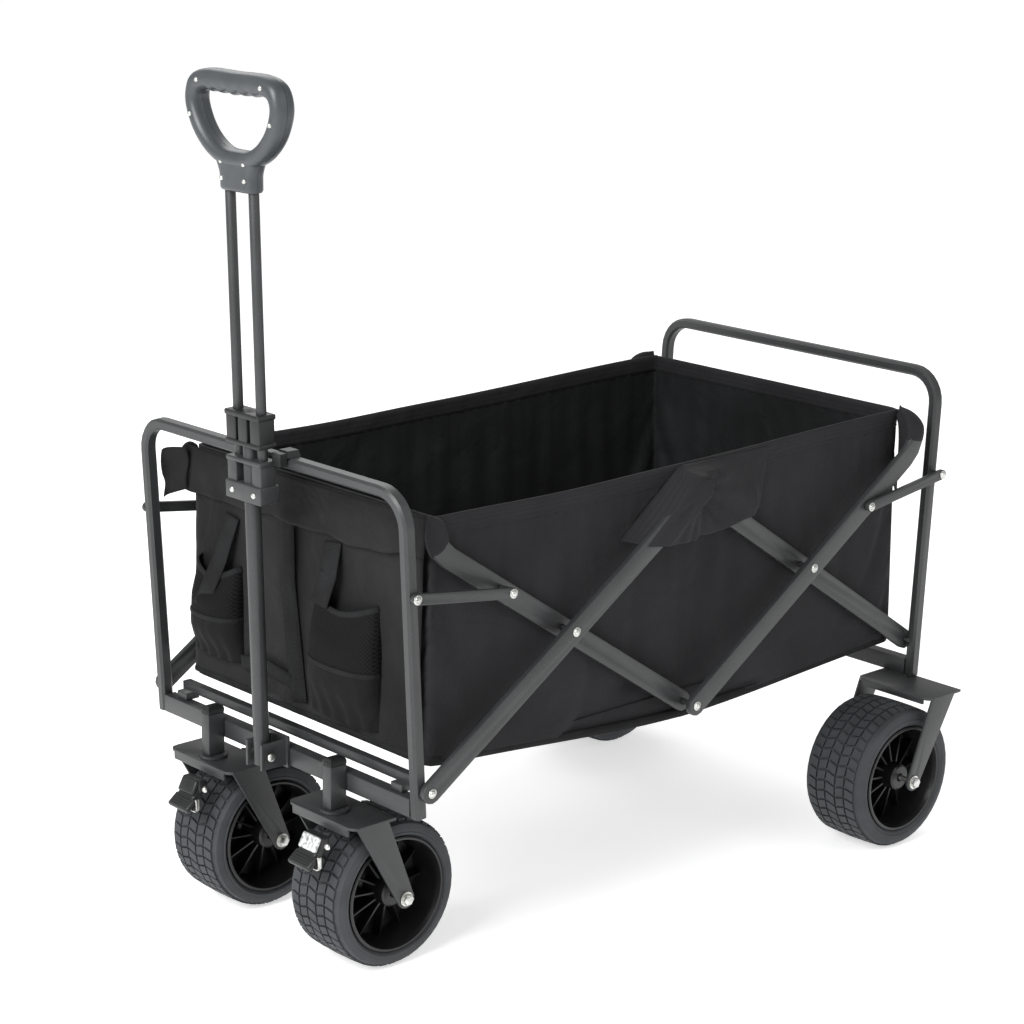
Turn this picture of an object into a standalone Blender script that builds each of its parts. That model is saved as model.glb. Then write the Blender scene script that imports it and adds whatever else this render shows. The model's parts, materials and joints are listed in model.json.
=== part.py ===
"""Folding camp wagon: scissor bars join two end frames that carry a fabric tub, wheels and a long handle.

Units are metres, +Z is up, the wagon faces -X and its left side is at -Y. Lengths along X are counted
from the front of the front frame's feet, and the empty wagon_datum moves them to the middle of the wagon.
"""

import math

import bmesh
import bpy
from mathutils import Matrix, Vector

# Driving dimensions.
FRAME_LENGTH = 0.911  # over the feet of the two end frames
FRAME_WIDTH = 0.520  # over the uprights
TUBE_X, TUBE_Y = 0.0168, 0.014  # section of the bent frame tube
LEAN = 0.054  # how far the end frames lean outwards, per metre of height
FRONT_FOOT_Z, FRONT_TOP_Z = 0.228, 0.624
REAR_FOOT_Z, REAR_TOP_Z = 0.2105, 0.639
FRAME_CORNER_R = 0.040
CROSSBEAM_HEIGHT = 0.0225
REAR_BEAM_Z = 0.211

PIVOT_X, PIVOT_Z = 0.0152, 0.261  # lowest pin of the scissors, on the upright
SCISSOR_ANGLE = math.radians(33.5)
LOWER_ARM, UPPER_ARM = 0.2715, 0.2566  # foot to crossing pin, crossing pin to middle pin
BAR_WIDTH, BAR_THICK = 0.026, 0.008
OUTER_BAR_Y, INNER_BAR_Y = 0.2655, 0.2405  # mid-planes of the two layers of bars
BRACE_WIDTH, BRACE_THICK = 0.013, 0.006
BRACE_Z = 0.4983  # pin of a brace on its upright
BRACE_ARM = 0.1214  # crossing pin to brace pin, along the bar
PIN_R, HOLE_R = 0.0035, 0.0040

FRONT_WHEEL_R, REAR_WHEEL_R = 0.0946, 0.0982
WHEEL_WIDTH = 0.098
RIM_R = 0.071
FRONT_AXLE_X, REAR_AXLE_X = 0.0455, 0.8134
CASTER_X, CASTER_Y = -0.0125, 0.1225
REAR_WHEEL_Y = 0.273
FORK_HALF, LEG_THICK = 0.0645, 0.0035
FORK_TOP_Z = 0.2035
AXLE_R, AXLE_HOLE_R = 0.0040, 0.0046

TUB_X0, TUB_X1 = 0.044, 0.877
TUB_HALF_WIDTH, TUB_FLOOR_Z, TUB_TOP_Z = 0.2325, 0.2795, 0.578
WALL = 0.004
PANEL_THICK = 0.005
PANEL_HINGE_X, PANEL_HINGE_Z = 0.052, 0.2900
PANEL_LENGTH = 0.350  # the floor's middle is fabric, so that the two panels clear each other as they fold up
RAIL_Y, RAIL, RAIL_LENGTH = 0.120, 0.012, 0.320

HANDLE_X, HANDLE_Z = -0.028, 0.245  # the handle's hinge pin
HANDLE_LEAN = 0.026
OUTER_TUBE_R, ROD_R, ROD_Y = 0.00975, 0.00635, 0.0225
COLLAR_TOP, COLLAR_LOW = 0.389, 0.322  # distances up the handle from its hinge
GRIP_START, GRIP_TOP = 0.690, 0.826
GRIP_HALF_WIDTH, GRIP_HALF_THICK, GRIP_NECK = 0.090, 0.0150, 0.0315
GRIP_HOLE_HALF_WIDTH, GRIP_HOLE_LOW, GRIP_HOLE_TOP = 0.066, 0.738, 0.803

LOWER_RAIL_X, LOWER_RAIL_Z = 0.0265, 0.2625  # centreline of the rail above the front beam
POST_TOP_Z, CAP_TOP_Z = 0.2622, 0.2720
BRACKET_EAR_Y, BRACKET_EAR = 0.0145, 0.0036  # ears of the handle's hinge bracket

GAP = 0.0003  # between touching pieces
REAR_X = FRAME_LENGTH
MID_X = REAR_X / 2
FRONT_REACH = -0.080  # tip of a brake pedal
REAR_REACH = REAR_X + LEAN * (REAR_TOP_Z - FRONT_FOOT_Z)
DATUM_X = -(FRONT_REACH + REAR_REACH) / 2


# Materials ---------------------------------------------------------------------------------------

def material(name, colour, roughness, metallic=0.0):
    made = bpy.data.materials.new(name)
    made.use_nodes = True
    shader = made.node_tree.nodes["Principled BSDF"]
    shader.inputs["Base Color"].default_value = (*colour, 1.0)
    shader.inputs["Roughness"].default_value = roughness
    shader.inputs["Metallic"].default_value = metallic
    made.diffuse_color = (*colour, 1.0)
    return made


def make_materials():
    return {
        "steel": material("powder_coated_steel", (0.075, 0.075, 0.072), 0.45),
        "zinc": material("zinc_plated_steel", (0.62, 0.62, 0.60), 0.30, 1.0),
        "plastic": material("black_plastic", (0.020, 0.020, 0.021), 0.50),
        "grip": material("grey_plastic", (0.070, 0.075, 0.080), 0.42),
        "fabric": material("oxford_fabric", (0.016, 0.016, 0.017), 0.90),
        "tyre": material("tyre_rubber", (0.045, 0.048, 0.052), 0.80),
    }


# Shapes ------------------------------------------------------------------------------------------

def clear_scene():
    for old in list(bpy.data.objects):
        bpy.data.objects.remove(old, do_unlink=True)


def finish(name, bm, finish_material, parent, location=(0, 0, 0)):
    """Turn a bmesh, built in wagon coordinates, into an object whose origin is at location."""
    bmesh.ops.translate(bm, verts=bm.verts, vec=-Vector(location))
    bmesh.ops.recalc_face_normals(bm, faces=bm.faces)
    mesh = bpy.data.meshes.new(name)
    bm.to_mesh(mesh)
    bm.free()
    mesh.shade_smooth()
    mesh.set_sharp_from_angle(angle=math.radians(35))
    made = bpy.data.objects.new(name, mesh)
    bpy.context.scene.collection.objects.link(made)
    made.location = location
    if finish_material:
        mesh.materials.append(finish_material)
    if parent:
        made.parent = parent
    return made


def boolean(target, tool, operation):
    """Cut or join with a hidden helper object."""
    modifier = target.modifiers.new(tool.name, "BOOLEAN")
    modifier.object = tool
    modifier.operation = operation
    modifier.solver = "EXACT"
    tool.hide_render = True
    tool.hide_viewport = True
    tool.display_type = "WIRE"


def block(bm, low, high, taper=0.0):
    """A box between two corners, its top face drawn in by taper."""
    centre = [(a + b) / 2 for a, b in zip(low, high)]
    made = bmesh.ops.create_cube(bm, size=1.0)["verts"]
    for vert in made:
        top = vert.co.z > 0
        for i in range(3):
            half = (high[i] - low[i]) / 2 - (taper if top and i < 2 else 0.0)
            vert.co[i] = centre[i] + math.copysign(half, vert.co[i])
    return made


def extrude_outline(bm, outline, axis, start, end):
    """Close an outline of (x, z), (x, y) or (y, z) pairs into a face and extrude it along the third axis."""
    def place(pair, depth):
        return {"y": (pair[0], depth, pair[1]), "z": (pair[0], pair[1], depth),
                "x": (depth, pair[0], pair[1])}[axis]
    verts = [bm.verts.new(place(pair, start)) for pair in outline]
    face = bm.faces.new(verts)
    grown = bmesh.ops.extrude_face_region(bm, geom=[face])
    moved = [g for g in grown["geom"] if isinstance(g, bmesh.types.BMVert)]
    bmesh.ops.translate(bm, verts=moved, vec=Vector(place((0, 0), end - start)))


def cylinder(bm, centre, radius, length, axis="y", segments=16):
    turn = {"y": Matrix.Rotation(math.pi / 2, 4, "X"), "x": Matrix.Rotation(math.pi / 2, 4, "Y"),
            "z": Matrix.Identity(4)}[axis]
    bmesh.ops.create_cone(bm, cap_ends=True, segments=segments, radius1=radius, radius2=radius,
                          depth=length, matrix=Matrix.Translation(centre) @ turn)


def turned(bm, profile, centre, segments):
    """Spin a closed profile of (radius, y) pairs about a line through centre along Y."""
    ring = [bm.verts.new((centre[0] + r, centre[1] + y, centre[2])) for r, y in profile]
    edges = [bm.edges.new((ring[i], ring[(i + 1) % len(ring)])) for i in range(len(ring))]
    bmesh.ops.spin(bm, geom=ring + edges, cent=centre, axis=(0, 1, 0), angle=math.tau,
                   steps=segments, use_merge=True, use_duplicate=False)
    bmesh.ops.remove_doubles(bm, verts=bm.verts, dist=1e-6)


def arc(centre, radius, start_deg, end_deg, steps):
    """Points (u, v) on a circular arc."""
    angles = [math.radians(start_deg + (end_deg - start_deg) * i / steps) for i in range(steps + 1)]
    return [(centre[0] + radius * math.cos(a), centre[1] + radius * math.sin(a)) for a in angles]


def sweep(bm, path, normal, half_width, half_depth, chamfer):
    """Run a chamfered rectangle along a flat path; half_depth lies along the path's normal."""
    normal = Vector(normal).normalized()
    path = [Vector(p) for p in path]
    section = []
    for su, sv in ((1, 1), (-1, 1), (-1, -1), (1, -1)):
        near = (su * (half_width - chamfer), sv * half_depth)
        far = (su * half_width, sv * (half_depth - chamfer))
        section += [far, near] if su * sv > 0 else [near, far]
    rings = []
    for i, point in enumerate(path):
        before = (point - path[i - 1]).normalized() if i else None
        after = (path[i + 1] - point).normalized() if i + 1 < len(path) else None
        tangent = ((before or after) + (after or before)).normalized()
        stretch = 1.0 / max(0.5, tangent.dot(after or before))
        side = normal.cross(tangent).normalized()
        rings.append([bm.verts.new(point + side * (u * stretch) + normal * v) for u, v in section])
    count = len(section)
    for one, two in zip(rings, rings[1:]):
        for i in range(count):
            j = (i + 1) % count
            bm.faces.new((one[i], one[j], two[j], two[i]))
    bm.faces.new(rings[0][::-1])
    bm.faces.new(rings[-1])


def strip_outline(path, width, steps=6):
    """Outline of a flat bar with round ends that follows a path of (x, z) points."""
    points = [Vector(p) for p in path]
    left, right = [], []
    for i, point in enumerate(points):
        before = (point - points[i - 1]).normalized() if i else None
        after = (points[i + 1] - point).normalized() if i + 1 < len(points) else None
        tangent = ((before or after) + (after or before)).normalized()
        side = Vector((-tangent.y, tangent.x)) * width / 2
        left.append(point + side)
        right.append(point - side)
    head = math.degrees(math.atan2(*(points[-1] - points[-2]).yx))
    tail = math.degrees(math.atan2(*(points[1] - points[0]).yx))
    outline = [tuple(p) for p in right]
    outline += arc(points[-1], width / 2, head - 90, head + 90, steps)[1:-1]
    outline += [tuple(p) for p in reversed(left)]
    outline += arc(points[0], width / 2, tail + 90, tail + 270, steps)[1:-1]
    return outline


def helper_cylinder(name, centre, radius, length, parent, axis="y", segments=12):
    bm = bmesh.new()
    cylinder(bm, centre, radius, length, axis, segments)
    return finish(name, bm, None, parent)


def helper_block(name, low, high, parent):
    bm = bmesh.new()
    block(bm, low, high)
    return finish(name, bm, None, parent)


# End frames --------------------------------------------------------------------------------------

def frame_path(foot_x, foot_z, top_z, lean):
    """Centreline of an inverted U that leans by lean per metre of height."""
    half = (FRAME_WIDTH - TUBE_Y) / 2
    crown = top_z - TUBE_Y / 2
    corner = (-half + FRAME_CORNER_R, crown - FRAME_CORNER_R)
    left = [(-half, foot_z), *arc(corner, FRAME_CORNER_R, 180, 90, 7)]
    flat = left + [(-y, z) for y, z in reversed(left)]
    return [(foot_x + lean * (z - FRONT_FOOT_Z), y, z) for y, z in flat]


def upright_x(foot_x, lean, z):
    return foot_x + lean * (z - FRONT_FOOT_Z)


def make_frame(name, foot_x, foot_z, top_z, lean, pins, paint, parent):
    """The bent tube, with the pins of the scissors and braces standing on its uprights."""
    bm = bmesh.new()
    sweep(bm, frame_path(foot_x, foot_z, top_z, lean), (1, 0, -lean), TUBE_Y / 2, TUBE_X / 2, 0.003)
    frame = finish(name, bm, paint, parent)
    for i, (x, z, y_from, y_to) in enumerate(pins):
        for side in (-1, 1):
            pin = helper_cylinder(f"{name}_pin_{i}_{side}", (x, side * (y_from + y_to) / 2, z), PIN_R,
                                  y_to - y_from, parent)
            boolean(frame, pin, "UNION")
    return frame


def make_beam(name, x0, z0, paint, parent):
    """The straight beam between the two feet of an end frame."""
    half = FRAME_WIDTH / 2 - TUBE_Y - GAP
    bm = bmesh.new()
    block(bm, (x0, -half, z0), (x0 + TUBE_X, half, z0 + CROSSBEAM_HEIGHT))
    return finish(name, bm, paint, parent)


def make_front_rail(paint, parent):
    """Low rail behind the front beam, on two tabs, that carries the tub's front edge."""
    x, z, half = LOWER_RAIL_X, LOWER_RAIL_Z, 0.010
    bm = bmesh.new()
    block(bm, (x - 0.006, -0.233, z - 0.006), (x + 0.006, 0.233, z + 0.006))
    rail = finish("front_lower_rail", bm, paint, parent)
    beam_top = FRONT_FOOT_Z + CROSSBEAM_HEIGHT + GAP
    for side in (-1, 1):
        y = side * 0.215
        low, high = (0.006, y - half, beam_top), (x, y + half, z - 0.002)
        tab = helper_block(f"rail_tab_{side}", low, high, parent)
        boolean(rail, tab, "UNION")
    return rail


def make_posts(mats, parent):
    """Caster posts in front of the front beam, with their caps and swivel bearings."""
    for side, word in ((-1, "left"), (1, "right")):
        y = side * CASTER_Y
        bm = bmesh.new()
        low = (CASTER_X - 0.012, y - 0.008, FORK_TOP_Z + 0.0045)
        block(bm, low, (CASTER_X + 0.012, y + 0.008, POST_TOP_Z))
        finish(f"caster_post_{word}", bm, mats["steel"], parent)
        bm = bmesh.new()
        low = (CASTER_X - 0.0121, y - 0.0082, POST_TOP_Z + GAP)
        block(bm, low, (CASTER_X + 0.0121, y + 0.0082, CAP_TOP_Z), 0.003)
        finish(f"post_cap_{word}", bm, mats["plastic"], parent)
        bm = bmesh.new()
        cylinder(bm, (CASTER_X, y, FORK_TOP_Z + 0.0022), 0.018, 0.0036, "z", 24)
        bearing = finish(f"swivel_bearing_{word}", bm, mats["zinc"], parent)
        foot = (CASTER_X, y, FORK_TOP_Z - 0.003)
        pin = helper_cylinder(f"king_pin_{word}", foot, 0.005, 0.012, parent, "z")
        boolean(bearing, pin, "UNION")


def make_handle_mounts(mats, parent):
    """Hinge bracket on the front beam and the clip on the top bar that holds the stowed handle."""
    bm = bmesh.new()
    block(bm, (-0.0038, -0.0200, 0.226), (-GAP, 0.0200, 0.266))
    bracket = finish("handle_bracket", bm, mats["steel"], parent)
    for side in (-1, 1):
        y, half = side * BRACKET_EAR_Y, BRACKET_EAR / 2
        low, high = (-0.0400, y - half, 0.229), (-0.0020, y + half, 0.262)
        ear = helper_block(f"bracket_ear_{side}", low, high, parent)
        hole = helper_cylinder(f"bracket_hole_{side}", (HANDLE_X, y, HANDLE_Z), HOLE_R, 0.010, parent)
        boolean(bracket, ear, "UNION")
        boolean(bracket, hole, "DIFFERENCE")
    profile = [(0.0001, -0.0213), (0.0060, -0.0213), (0.0060, -0.0167), (PIN_R, -0.0167), (PIN_R, 0.0200),
               (0.0001, 0.0200)]
    bm = bmesh.new()
    turned(bm, profile, (HANDLE_X, 0, HANDLE_Z), 12)
    finish("handle_pivot_pin", bm, mats["zinc"], parent)
    bar_x = upright_x(TUBE_X / 2, -LEAN, FRONT_TOP_Z)
    bm = bmesh.new()
    top = FRONT_TOP_Z + GAP
    block(bm, (bar_x - 0.0110, -0.052, top), (bar_x + 0.0090, -0.032, top + 0.008), 0.002)
    clip = finish("handle_clip", bm, mats["plastic"], parent)
    low, high = (bar_x - 0.0200, -0.050, top - 0.010), (bar_x - 0.0100, -0.034, top + 0.006)
    nose = helper_block("clip_nose", low, high, parent)
    boolean(clip, nose, "UNION")
    return bracket


# Scissors and braces -----------------------------------------------------------------------------

def mirrored(points, flip):
    """Copy front-half points of (x, z) to the rear half."""
    return [(REAR_X - x, z) for x, z in points] if flip else points


def scissor_points():
    cos_a, sin_a = math.cos(SCISSOR_ANGLE), math.sin(SCISSOR_ANGLE)
    foot = (PIVOT_X, PIVOT_Z)
    cross = (foot[0] + LOWER_ARM * cos_a, foot[1] + LOWER_ARM * sin_a)
    peak = (cross[0] + UPPER_ARM * cos_a, cross[1] + UPPER_ARM * sin_a)
    middle = (cross[0] + UPPER_ARM * cos_a, cross[1] - UPPER_ARM * sin_a)
    brace = (cross[0] - BRACE_ARM * cos_a, cross[1] + BRACE_ARM * sin_a)
    knee = (cross[0] - 0.215 * cos_a, cross[1] + 0.215 * sin_a)
    corner = [knee, (knee[0] - 0.0120, knee[1] + 0.0115), (knee[0] - 0.0185, knee[1] + 0.0265)]
    return {"foot": foot, "cross": cross, "peak": peak, "middle": middle, "brace": brace, "corner": corner}


def make_bar(name, path, layer_y, side, holes, pins, paint, parent, origin):
    """A flat bar with round ends, its pin holes, and its own pins from y_from to y_to."""
    bm = bmesh.new()
    y = side * layer_y
    extrude_outline(bm, strip_outline(path, BAR_WIDTH), "y", y - BAR_THICK / 2, y + BAR_THICK / 2)
    bar = finish(name, bm, paint, parent, (origin[0], y, origin[1]))
    for i, (x, z) in enumerate(holes):
        hole = helper_cylinder(f"{name}_hole_{i}", (x, y, z), HOLE_R, BAR_THICK * 3, parent)
        boolean(bar, hole, "DIFFERENCE")
    for i, (x, z, y_from, y_to) in enumerate(pins):
        pin = helper_cylinder(f"{name}_pin_{i}", (x, side * (y_from + y_to) / 2, z), PIN_R,
                              abs(y_to - y_from), parent)
        boolean(bar, pin, "UNION")
    return bar


def make_scissors(paint, parent):
    """Two crossing pairs on each side; the front pair's foot bar is outside, the rear pair's inside."""
    p = scissor_points()
    inner_end = INNER_BAR_Y - BAR_THICK / 2 + 0.0005
    outer_core = OUTER_BAR_Y
    for side, word in ((-1, "left"), (1, "right")):
        make_bar(f"front_foot_bar_{word}", [p["foot"], p["cross"], p["peak"]], OUTER_BAR_Y, side,
                 [p["foot"]], [(*p["cross"], inner_end, outer_core), (*p["peak"], inner_end, outer_core)],
                 paint, parent, p["foot"])
        make_bar(f"front_corner_bar_{word}", [p["middle"], p["cross"], *p["corner"]], INNER_BAR_Y, side,
                 [p["middle"], p["cross"]], [], paint, parent, p["cross"])
        back = {key: mirrored([p[key]], True)[0] for key in ("foot", "cross", "peak", "middle")}
        make_bar(f"rear_foot_bar_{word}", [back["foot"], back["cross"], back["peak"]], INNER_BAR_Y, side,
                 [back["foot"], back["cross"], back["peak"]], [], paint, parent, back["peak"])
        make_bar(f"rear_corner_bar_{word}", [back["middle"], back["cross"], *mirrored(p["corner"], True)],
                 OUTER_BAR_Y, side, [],
                 [(*back["middle"], inner_end, outer_core), (*back["cross"], inner_end, outer_core)],
                 paint, parent, back["cross"])


def make_braces(paint, parent):
    """Short links from the uprights to the corner bars, stiffened by a spacer at the bar end."""
    p = scissor_points()
    front_pin = (upright_x(TUBE_X / 2, -LEAN, BRACE_Z), BRACE_Z)
    layouts = (("front", front_pin, p["brace"], OUTER_BAR_Y - 0.001, 0.2462),
               ("rear", *mirrored([front_pin, p["brace"]], True), 0.2738, 0.2702))
    for where, pin, end, layer_y, spacer_y in layouts:
        for side, word in ((-1, "left"), (1, "right")):
            y = side * layer_y
            bm = bmesh.new()
            outline = strip_outline([pin, end], BRACE_WIDTH)
            extrude_outline(bm, outline, "y", y - BRACE_THICK / 2, y + BRACE_THICK / 2)
            brace = finish(f"{where}_brace_{word}", bm, paint, parent, (pin[0], y, pin[1]))
            hole = helper_cylinder(f"{where}_brace_{word}_hole", (pin[0], y, pin[1]), HOLE_R, 0.020, parent)
            boolean(brace, hole, "DIFFERENCE")
            middle = (end[0], side * (layer_y + spacer_y) / 2, end[1])
            name = f"{where}_brace_{word}_spacer"
            spacer = helper_cylinder(name, middle, 0.0058, layer_y - spacer_y, parent)
            boolean(brace, spacer, "UNION")


def make_mid_tube(paint, parent):
    x, z = scissor_points()["middle"]
    half = INNER_BAR_Y - BAR_THICK / 2 - 0.001
    bm = bmesh.new()
    block(bm, (x - 0.008, -half, z - 0.008), (x + 0.008, half, z + 0.008))
    return finish("mid_cross_tube", bm, paint, parent, (x, 0, z))


# Casters and wheels ------------------------------------------------------------------------------

def leg_outline(top_front, top_rear, axle, radius=0.0125):
    """Fork leg that narrows from the plate down to a round end at the axle; (x, z) pairs."""
    down = math.degrees(math.atan2(axle[1] - top_front[1], axle[0] - top_front[0]))
    return [top_rear, top_front] + arc(axle, radius, down - 90, down + 90, 7)


def make_fork(name, y, x_front, x_rear, top_z, lip, leg, axle, origin, paint, parent, plate_hole=None):
    """A pressed channel: top plate, lips at its two ends across the wagon, and a leg on each side."""
    low, high = y - FORK_HALF, y + FORK_HALF
    corner = 0.012
    bm = bmesh.new()
    outline = arc((x_front + corner, high - corner), corner, 90, 180, 4)
    outline += arc((x_front + corner, low + corner), corner, 180, 270, 4)
    outline += [(x_rear, low), (x_rear, high)]
    extrude_outline(bm, outline, "z", top_z - LEG_THICK, top_z)
    fork = finish(name, bm, paint, parent, origin)
    front_lip = helper_block(f"{name}_lip", (x_front, low + corner, top_z - lip),
                             (x_front + LEG_THICK, high - corner, top_z - 0.001), parent)
    boolean(fork, front_lip, "UNION")
    for side in (-1, 1):
        outer = y + side * FORK_HALF
        inner = outer - side * LEG_THICK
        bm = bmesh.new()
        extrude_outline(bm, leg_outline(*leg, axle), "y", min(inner, outer), max(inner, outer))
        arm = finish(f"{name}_leg_{side}", bm, None, parent)
        boolean(fork, arm, "UNION")
    bore = helper_cylinder(f"{name}_bore", (axle[0], y, axle[1]), AXLE_HOLE_R, FORK_HALF * 3, parent)
    boolean(fork, bore, "DIFFERENCE")
    if plate_hole:
        hole = helper_cylinder(f"{name}_hole", (*plate_hole, top_z), 0.0056, 0.020, parent, "z")
        boolean(fork, hole, "DIFFERENCE")
    return fork


def make_axle(name, centre, zinc, parent):
    """Bolt with a head and a nut outside the fork's legs."""
    out = FORK_HALF + GAP
    head = 0.0095
    profile = [(0.0001, -out - 0.006), (head, -out - 0.006), (head, -out), (AXLE_R, -out), (AXLE_R, out),
               (head, out), (head, out + 0.006), (0.0001, out + 0.006)]
    bm = bmesh.new()
    turned(bm, profile, centre, 12)
    return finish(name, bm, zinc, parent, centre)


def make_wheel(prefix, radius, centre, mats, parent):
    """Wide tyre on a dished plastic rim with a hub."""
    half = WHEEL_WIDTH / 2
    seat = RIM_R + GAP
    near_side = [(seat, -half + 0.006), (seat + 0.006, -half), (radius - 0.014, -half),
                 (radius - 0.0045, -half + 0.006), (radius, -half + 0.026)]
    tyre = near_side + [(r, -y) for r, y in reversed(near_side)]
    bm = bmesh.new()
    turned(bm, tyre, centre, 36)
    finish(f"{prefix}_tyre", bm, mats["tyre"], parent, centre)
    inner, web, hub = RIM_R - 0.006, 0.005, 0.019
    rim = [(inner, -half + 0.010), (RIM_R, -half + 0.007), (RIM_R, half - 0.007), (inner, half - 0.010),
           (inner, web), (hub, web), (hub - 0.002, half - 0.004), (AXLE_HOLE_R, half - 0.004),
           (AXLE_HOLE_R, -half + 0.004), (hub - 0.002, -half + 0.004), (hub, -web), (inner, -web)]
    bm = bmesh.new()
    turned(bm, rim, centre, 24)
    finish(f"{prefix}_rim", bm, mats["plastic"], parent, centre)


def make_casters(mats, parent):
    for side, word in ((-1, "left"), (1, "right")):
        y = side * CASTER_Y
        axle = (FRONT_AXLE_X, FRONT_WHEEL_R)
        swivel = (CASTER_X, y, FORK_TOP_Z)
        leg_top = ((-0.0300, FORK_TOP_Z - 0.0008), (0.0180, FORK_TOP_Z - 0.0008))
        make_fork(f"caster_fork_{word}", y, -0.0355, 0.0300, FORK_TOP_Z, 0.0125, leg_top, axle, swivel,
                  mats["steel"], parent, (CASTER_X, y))
        make_axle(f"caster_axle_{word}", (FRONT_AXLE_X, y, FRONT_WHEEL_R), mats["zinc"], parent)
        make_wheel(f"front_wheel_{word}", FRONT_WHEEL_R, (FRONT_AXLE_X, y, FRONT_WHEEL_R), mats, parent)
        make_pedal(f"brake_pedal_{word}", y - 0.012, mats["plastic"], parent)


def make_pedal(name, y, plastic, parent):
    """Foot brake: a bent lever that hangs from the fork's front lip."""
    outline = [(-0.0400, 0.1895), (-0.0560, 0.1885), (-0.0660, 0.1740), (-0.0690, 0.1650),
               (FRONT_REACH, 0.1585), (-0.0745, 0.1500), (-0.0580, 0.1540),
               (-0.0500, 0.1700), (-0.0400, 0.1780)]
    bm = bmesh.new()
    extrude_outline(bm, outline, "y", y - 0.021, y + 0.021)
    return finish(name, bm, plastic, parent, (-0.0440, y, 0.1850))


def make_rear_wheels(mats, parent):
    for side, word in ((-1, "left"), (1, "right")):
        y = side * REAR_WHEEL_Y
        axle = (REAR_AXLE_X, REAR_WHEEL_R)
        top = REAR_FOOT_Z - GAP
        leg_top = ((0.8460, top - 0.0008), (0.8930, top - 0.0008))
        make_fork(f"rear_bracket_{word}", y, 0.8380, 0.9050, top, 0.0100, leg_top, axle, (REAR_X, y, top),
                  mats["steel"], parent)
        make_axle(f"rear_axle_{word}", (REAR_AXLE_X, y, REAR_WHEEL_R), mats["zinc"], parent)
        make_wheel(f"rear_wheel_{word}", REAR_WHEEL_R, (REAR_AXLE_X, y, REAR_WHEEL_R), mats, parent)


# Tub ---------------------------------------------------------------------------------------------

def make_tub(fabric, parent):
    """Four fabric walls; the ends belong to the end frames and the sides fold up between them."""
    half = TUB_HALF_WIDTH
    side_start, side_end = TUB_X0 + WALL + GAP, TUB_X1 - WALL - GAP
    walls = {
        "tub_front_wall": ((TUB_X0, -half, TUB_FLOOR_Z), (TUB_X0 + WALL, half, TUB_TOP_Z)),
        "tub_rear_wall": ((TUB_X1 - WALL, -half, TUB_FLOOR_Z), (TUB_X1, half, TUB_TOP_Z)),
        "tub_side_left": ((side_start, -half, TUB_FLOOR_Z), (side_end, -half + WALL, TUB_TOP_Z)),
        "tub_side_right": ((side_start, half - WALL, TUB_FLOOR_Z), (side_end, half, TUB_TOP_Z)),
    }
    for name, (low, high) in walls.items():
        bm = bmesh.new()
        block(bm, low, high)
        finish(name, bm, fabric, parent)


def make_floor(mats, parent):
    """Two stiff floor panels, hinged along the feet of the end walls, each on a bent rail."""
    under = TUB_FLOOR_Z - GAP
    for where, flip in (("front", False), ("rear", True)):
        hinge = mirrored([(PANEL_HINGE_X, PANEL_HINGE_Z)], flip)[0]
        ends = sorted(x for x, _ in mirrored([(PANEL_HINGE_X, 0), (PANEL_HINGE_X + PANEL_LENGTH, 0)], flip))
        bm = bmesh.new()
        block(bm, (ends[0], -0.222, TUB_FLOOR_Z), (ends[1], 0.222, TUB_FLOOR_Z + PANEL_THICK))
        finish(f"floor_panel_{where}", bm, mats["fabric"], parent, (hinge[0], 0, hinge[1]))
        rail_ends = (PANEL_HINGE_X + 0.010, PANEL_HINGE_X + RAIL_LENGTH)
        path = mirrored([(rail_ends[0], -RAIL_Y), (rail_ends[1], -RAIL_Y), (rail_ends[1], RAIL_Y),
                         (rail_ends[0], RAIL_Y)], flip)
        bm = bmesh.new()
        sweep(bm, [(x, y, under - RAIL / 2) for x, y in path], (0, 0, 1), RAIL / 2, RAIL / 2, 0.002)
        finish(f"floor_rail_{where}", bm, mats["steel"], parent, (hinge[0], 0, hinge[1]))


# Handle ------------------------------------------------------------------------------------------

def grip_outline(width, height, bottom, foot, steps=6):
    """Half of a D-shaped loop, from its foot up to the middle of its top; (y, up) pairs."""
    top_r = height * 0.36
    points = [(foot, bottom)]
    points += [(width * 0.70, bottom + height * 0.20), (width * 0.93, bottom + height * 0.42)]
    points += arc((width - top_r, height + bottom - top_r), top_r, 0, 90, steps)
    points += [(0.0, bottom + height)]
    return points


def handle_matrix():
    """Handle coordinates (x forward-back, y, up the handle) to wagon coordinates."""
    up = Vector((-HANDLE_LEAN, 0, 1)).normalized()
    across = Vector((0, 1, 0))
    turn = Matrix((across.cross(up), across, up)).transposed().to_4x4()
    return Matrix.Translation((HANDLE_X, 0, HANDLE_Z)) @ turn


def finish_on_handle(name, bm, paint, parent):
    bmesh.ops.transform(bm, matrix=handle_matrix(), verts=bm.verts)
    return finish(name, bm, paint, parent, (HANDLE_X, 0, HANDLE_Z))


def handle_helper(name, bm, parent):
    return finish_on_handle(name, bm, None, parent)


def make_collar(name, low, high, holes, mats, parent):
    """Plastic collar round the tube and the two rods."""
    bm = bmesh.new()
    block(bm, (-0.0135, -0.0335, low), (0.0135, 0.0335, high))
    collar = finish_on_handle(name, bm, mats["plastic"], parent)
    for i, (y, radius) in enumerate(holes):
        bm = bmesh.new()
        cylinder(bm, (0, y, (low + high) / 2), radius, high - low + 0.02, "z", 20)
        boolean(collar, handle_helper(f"{name}_hole_{i}", bm, parent), "DIFFERENCE")
    return collar


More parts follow.
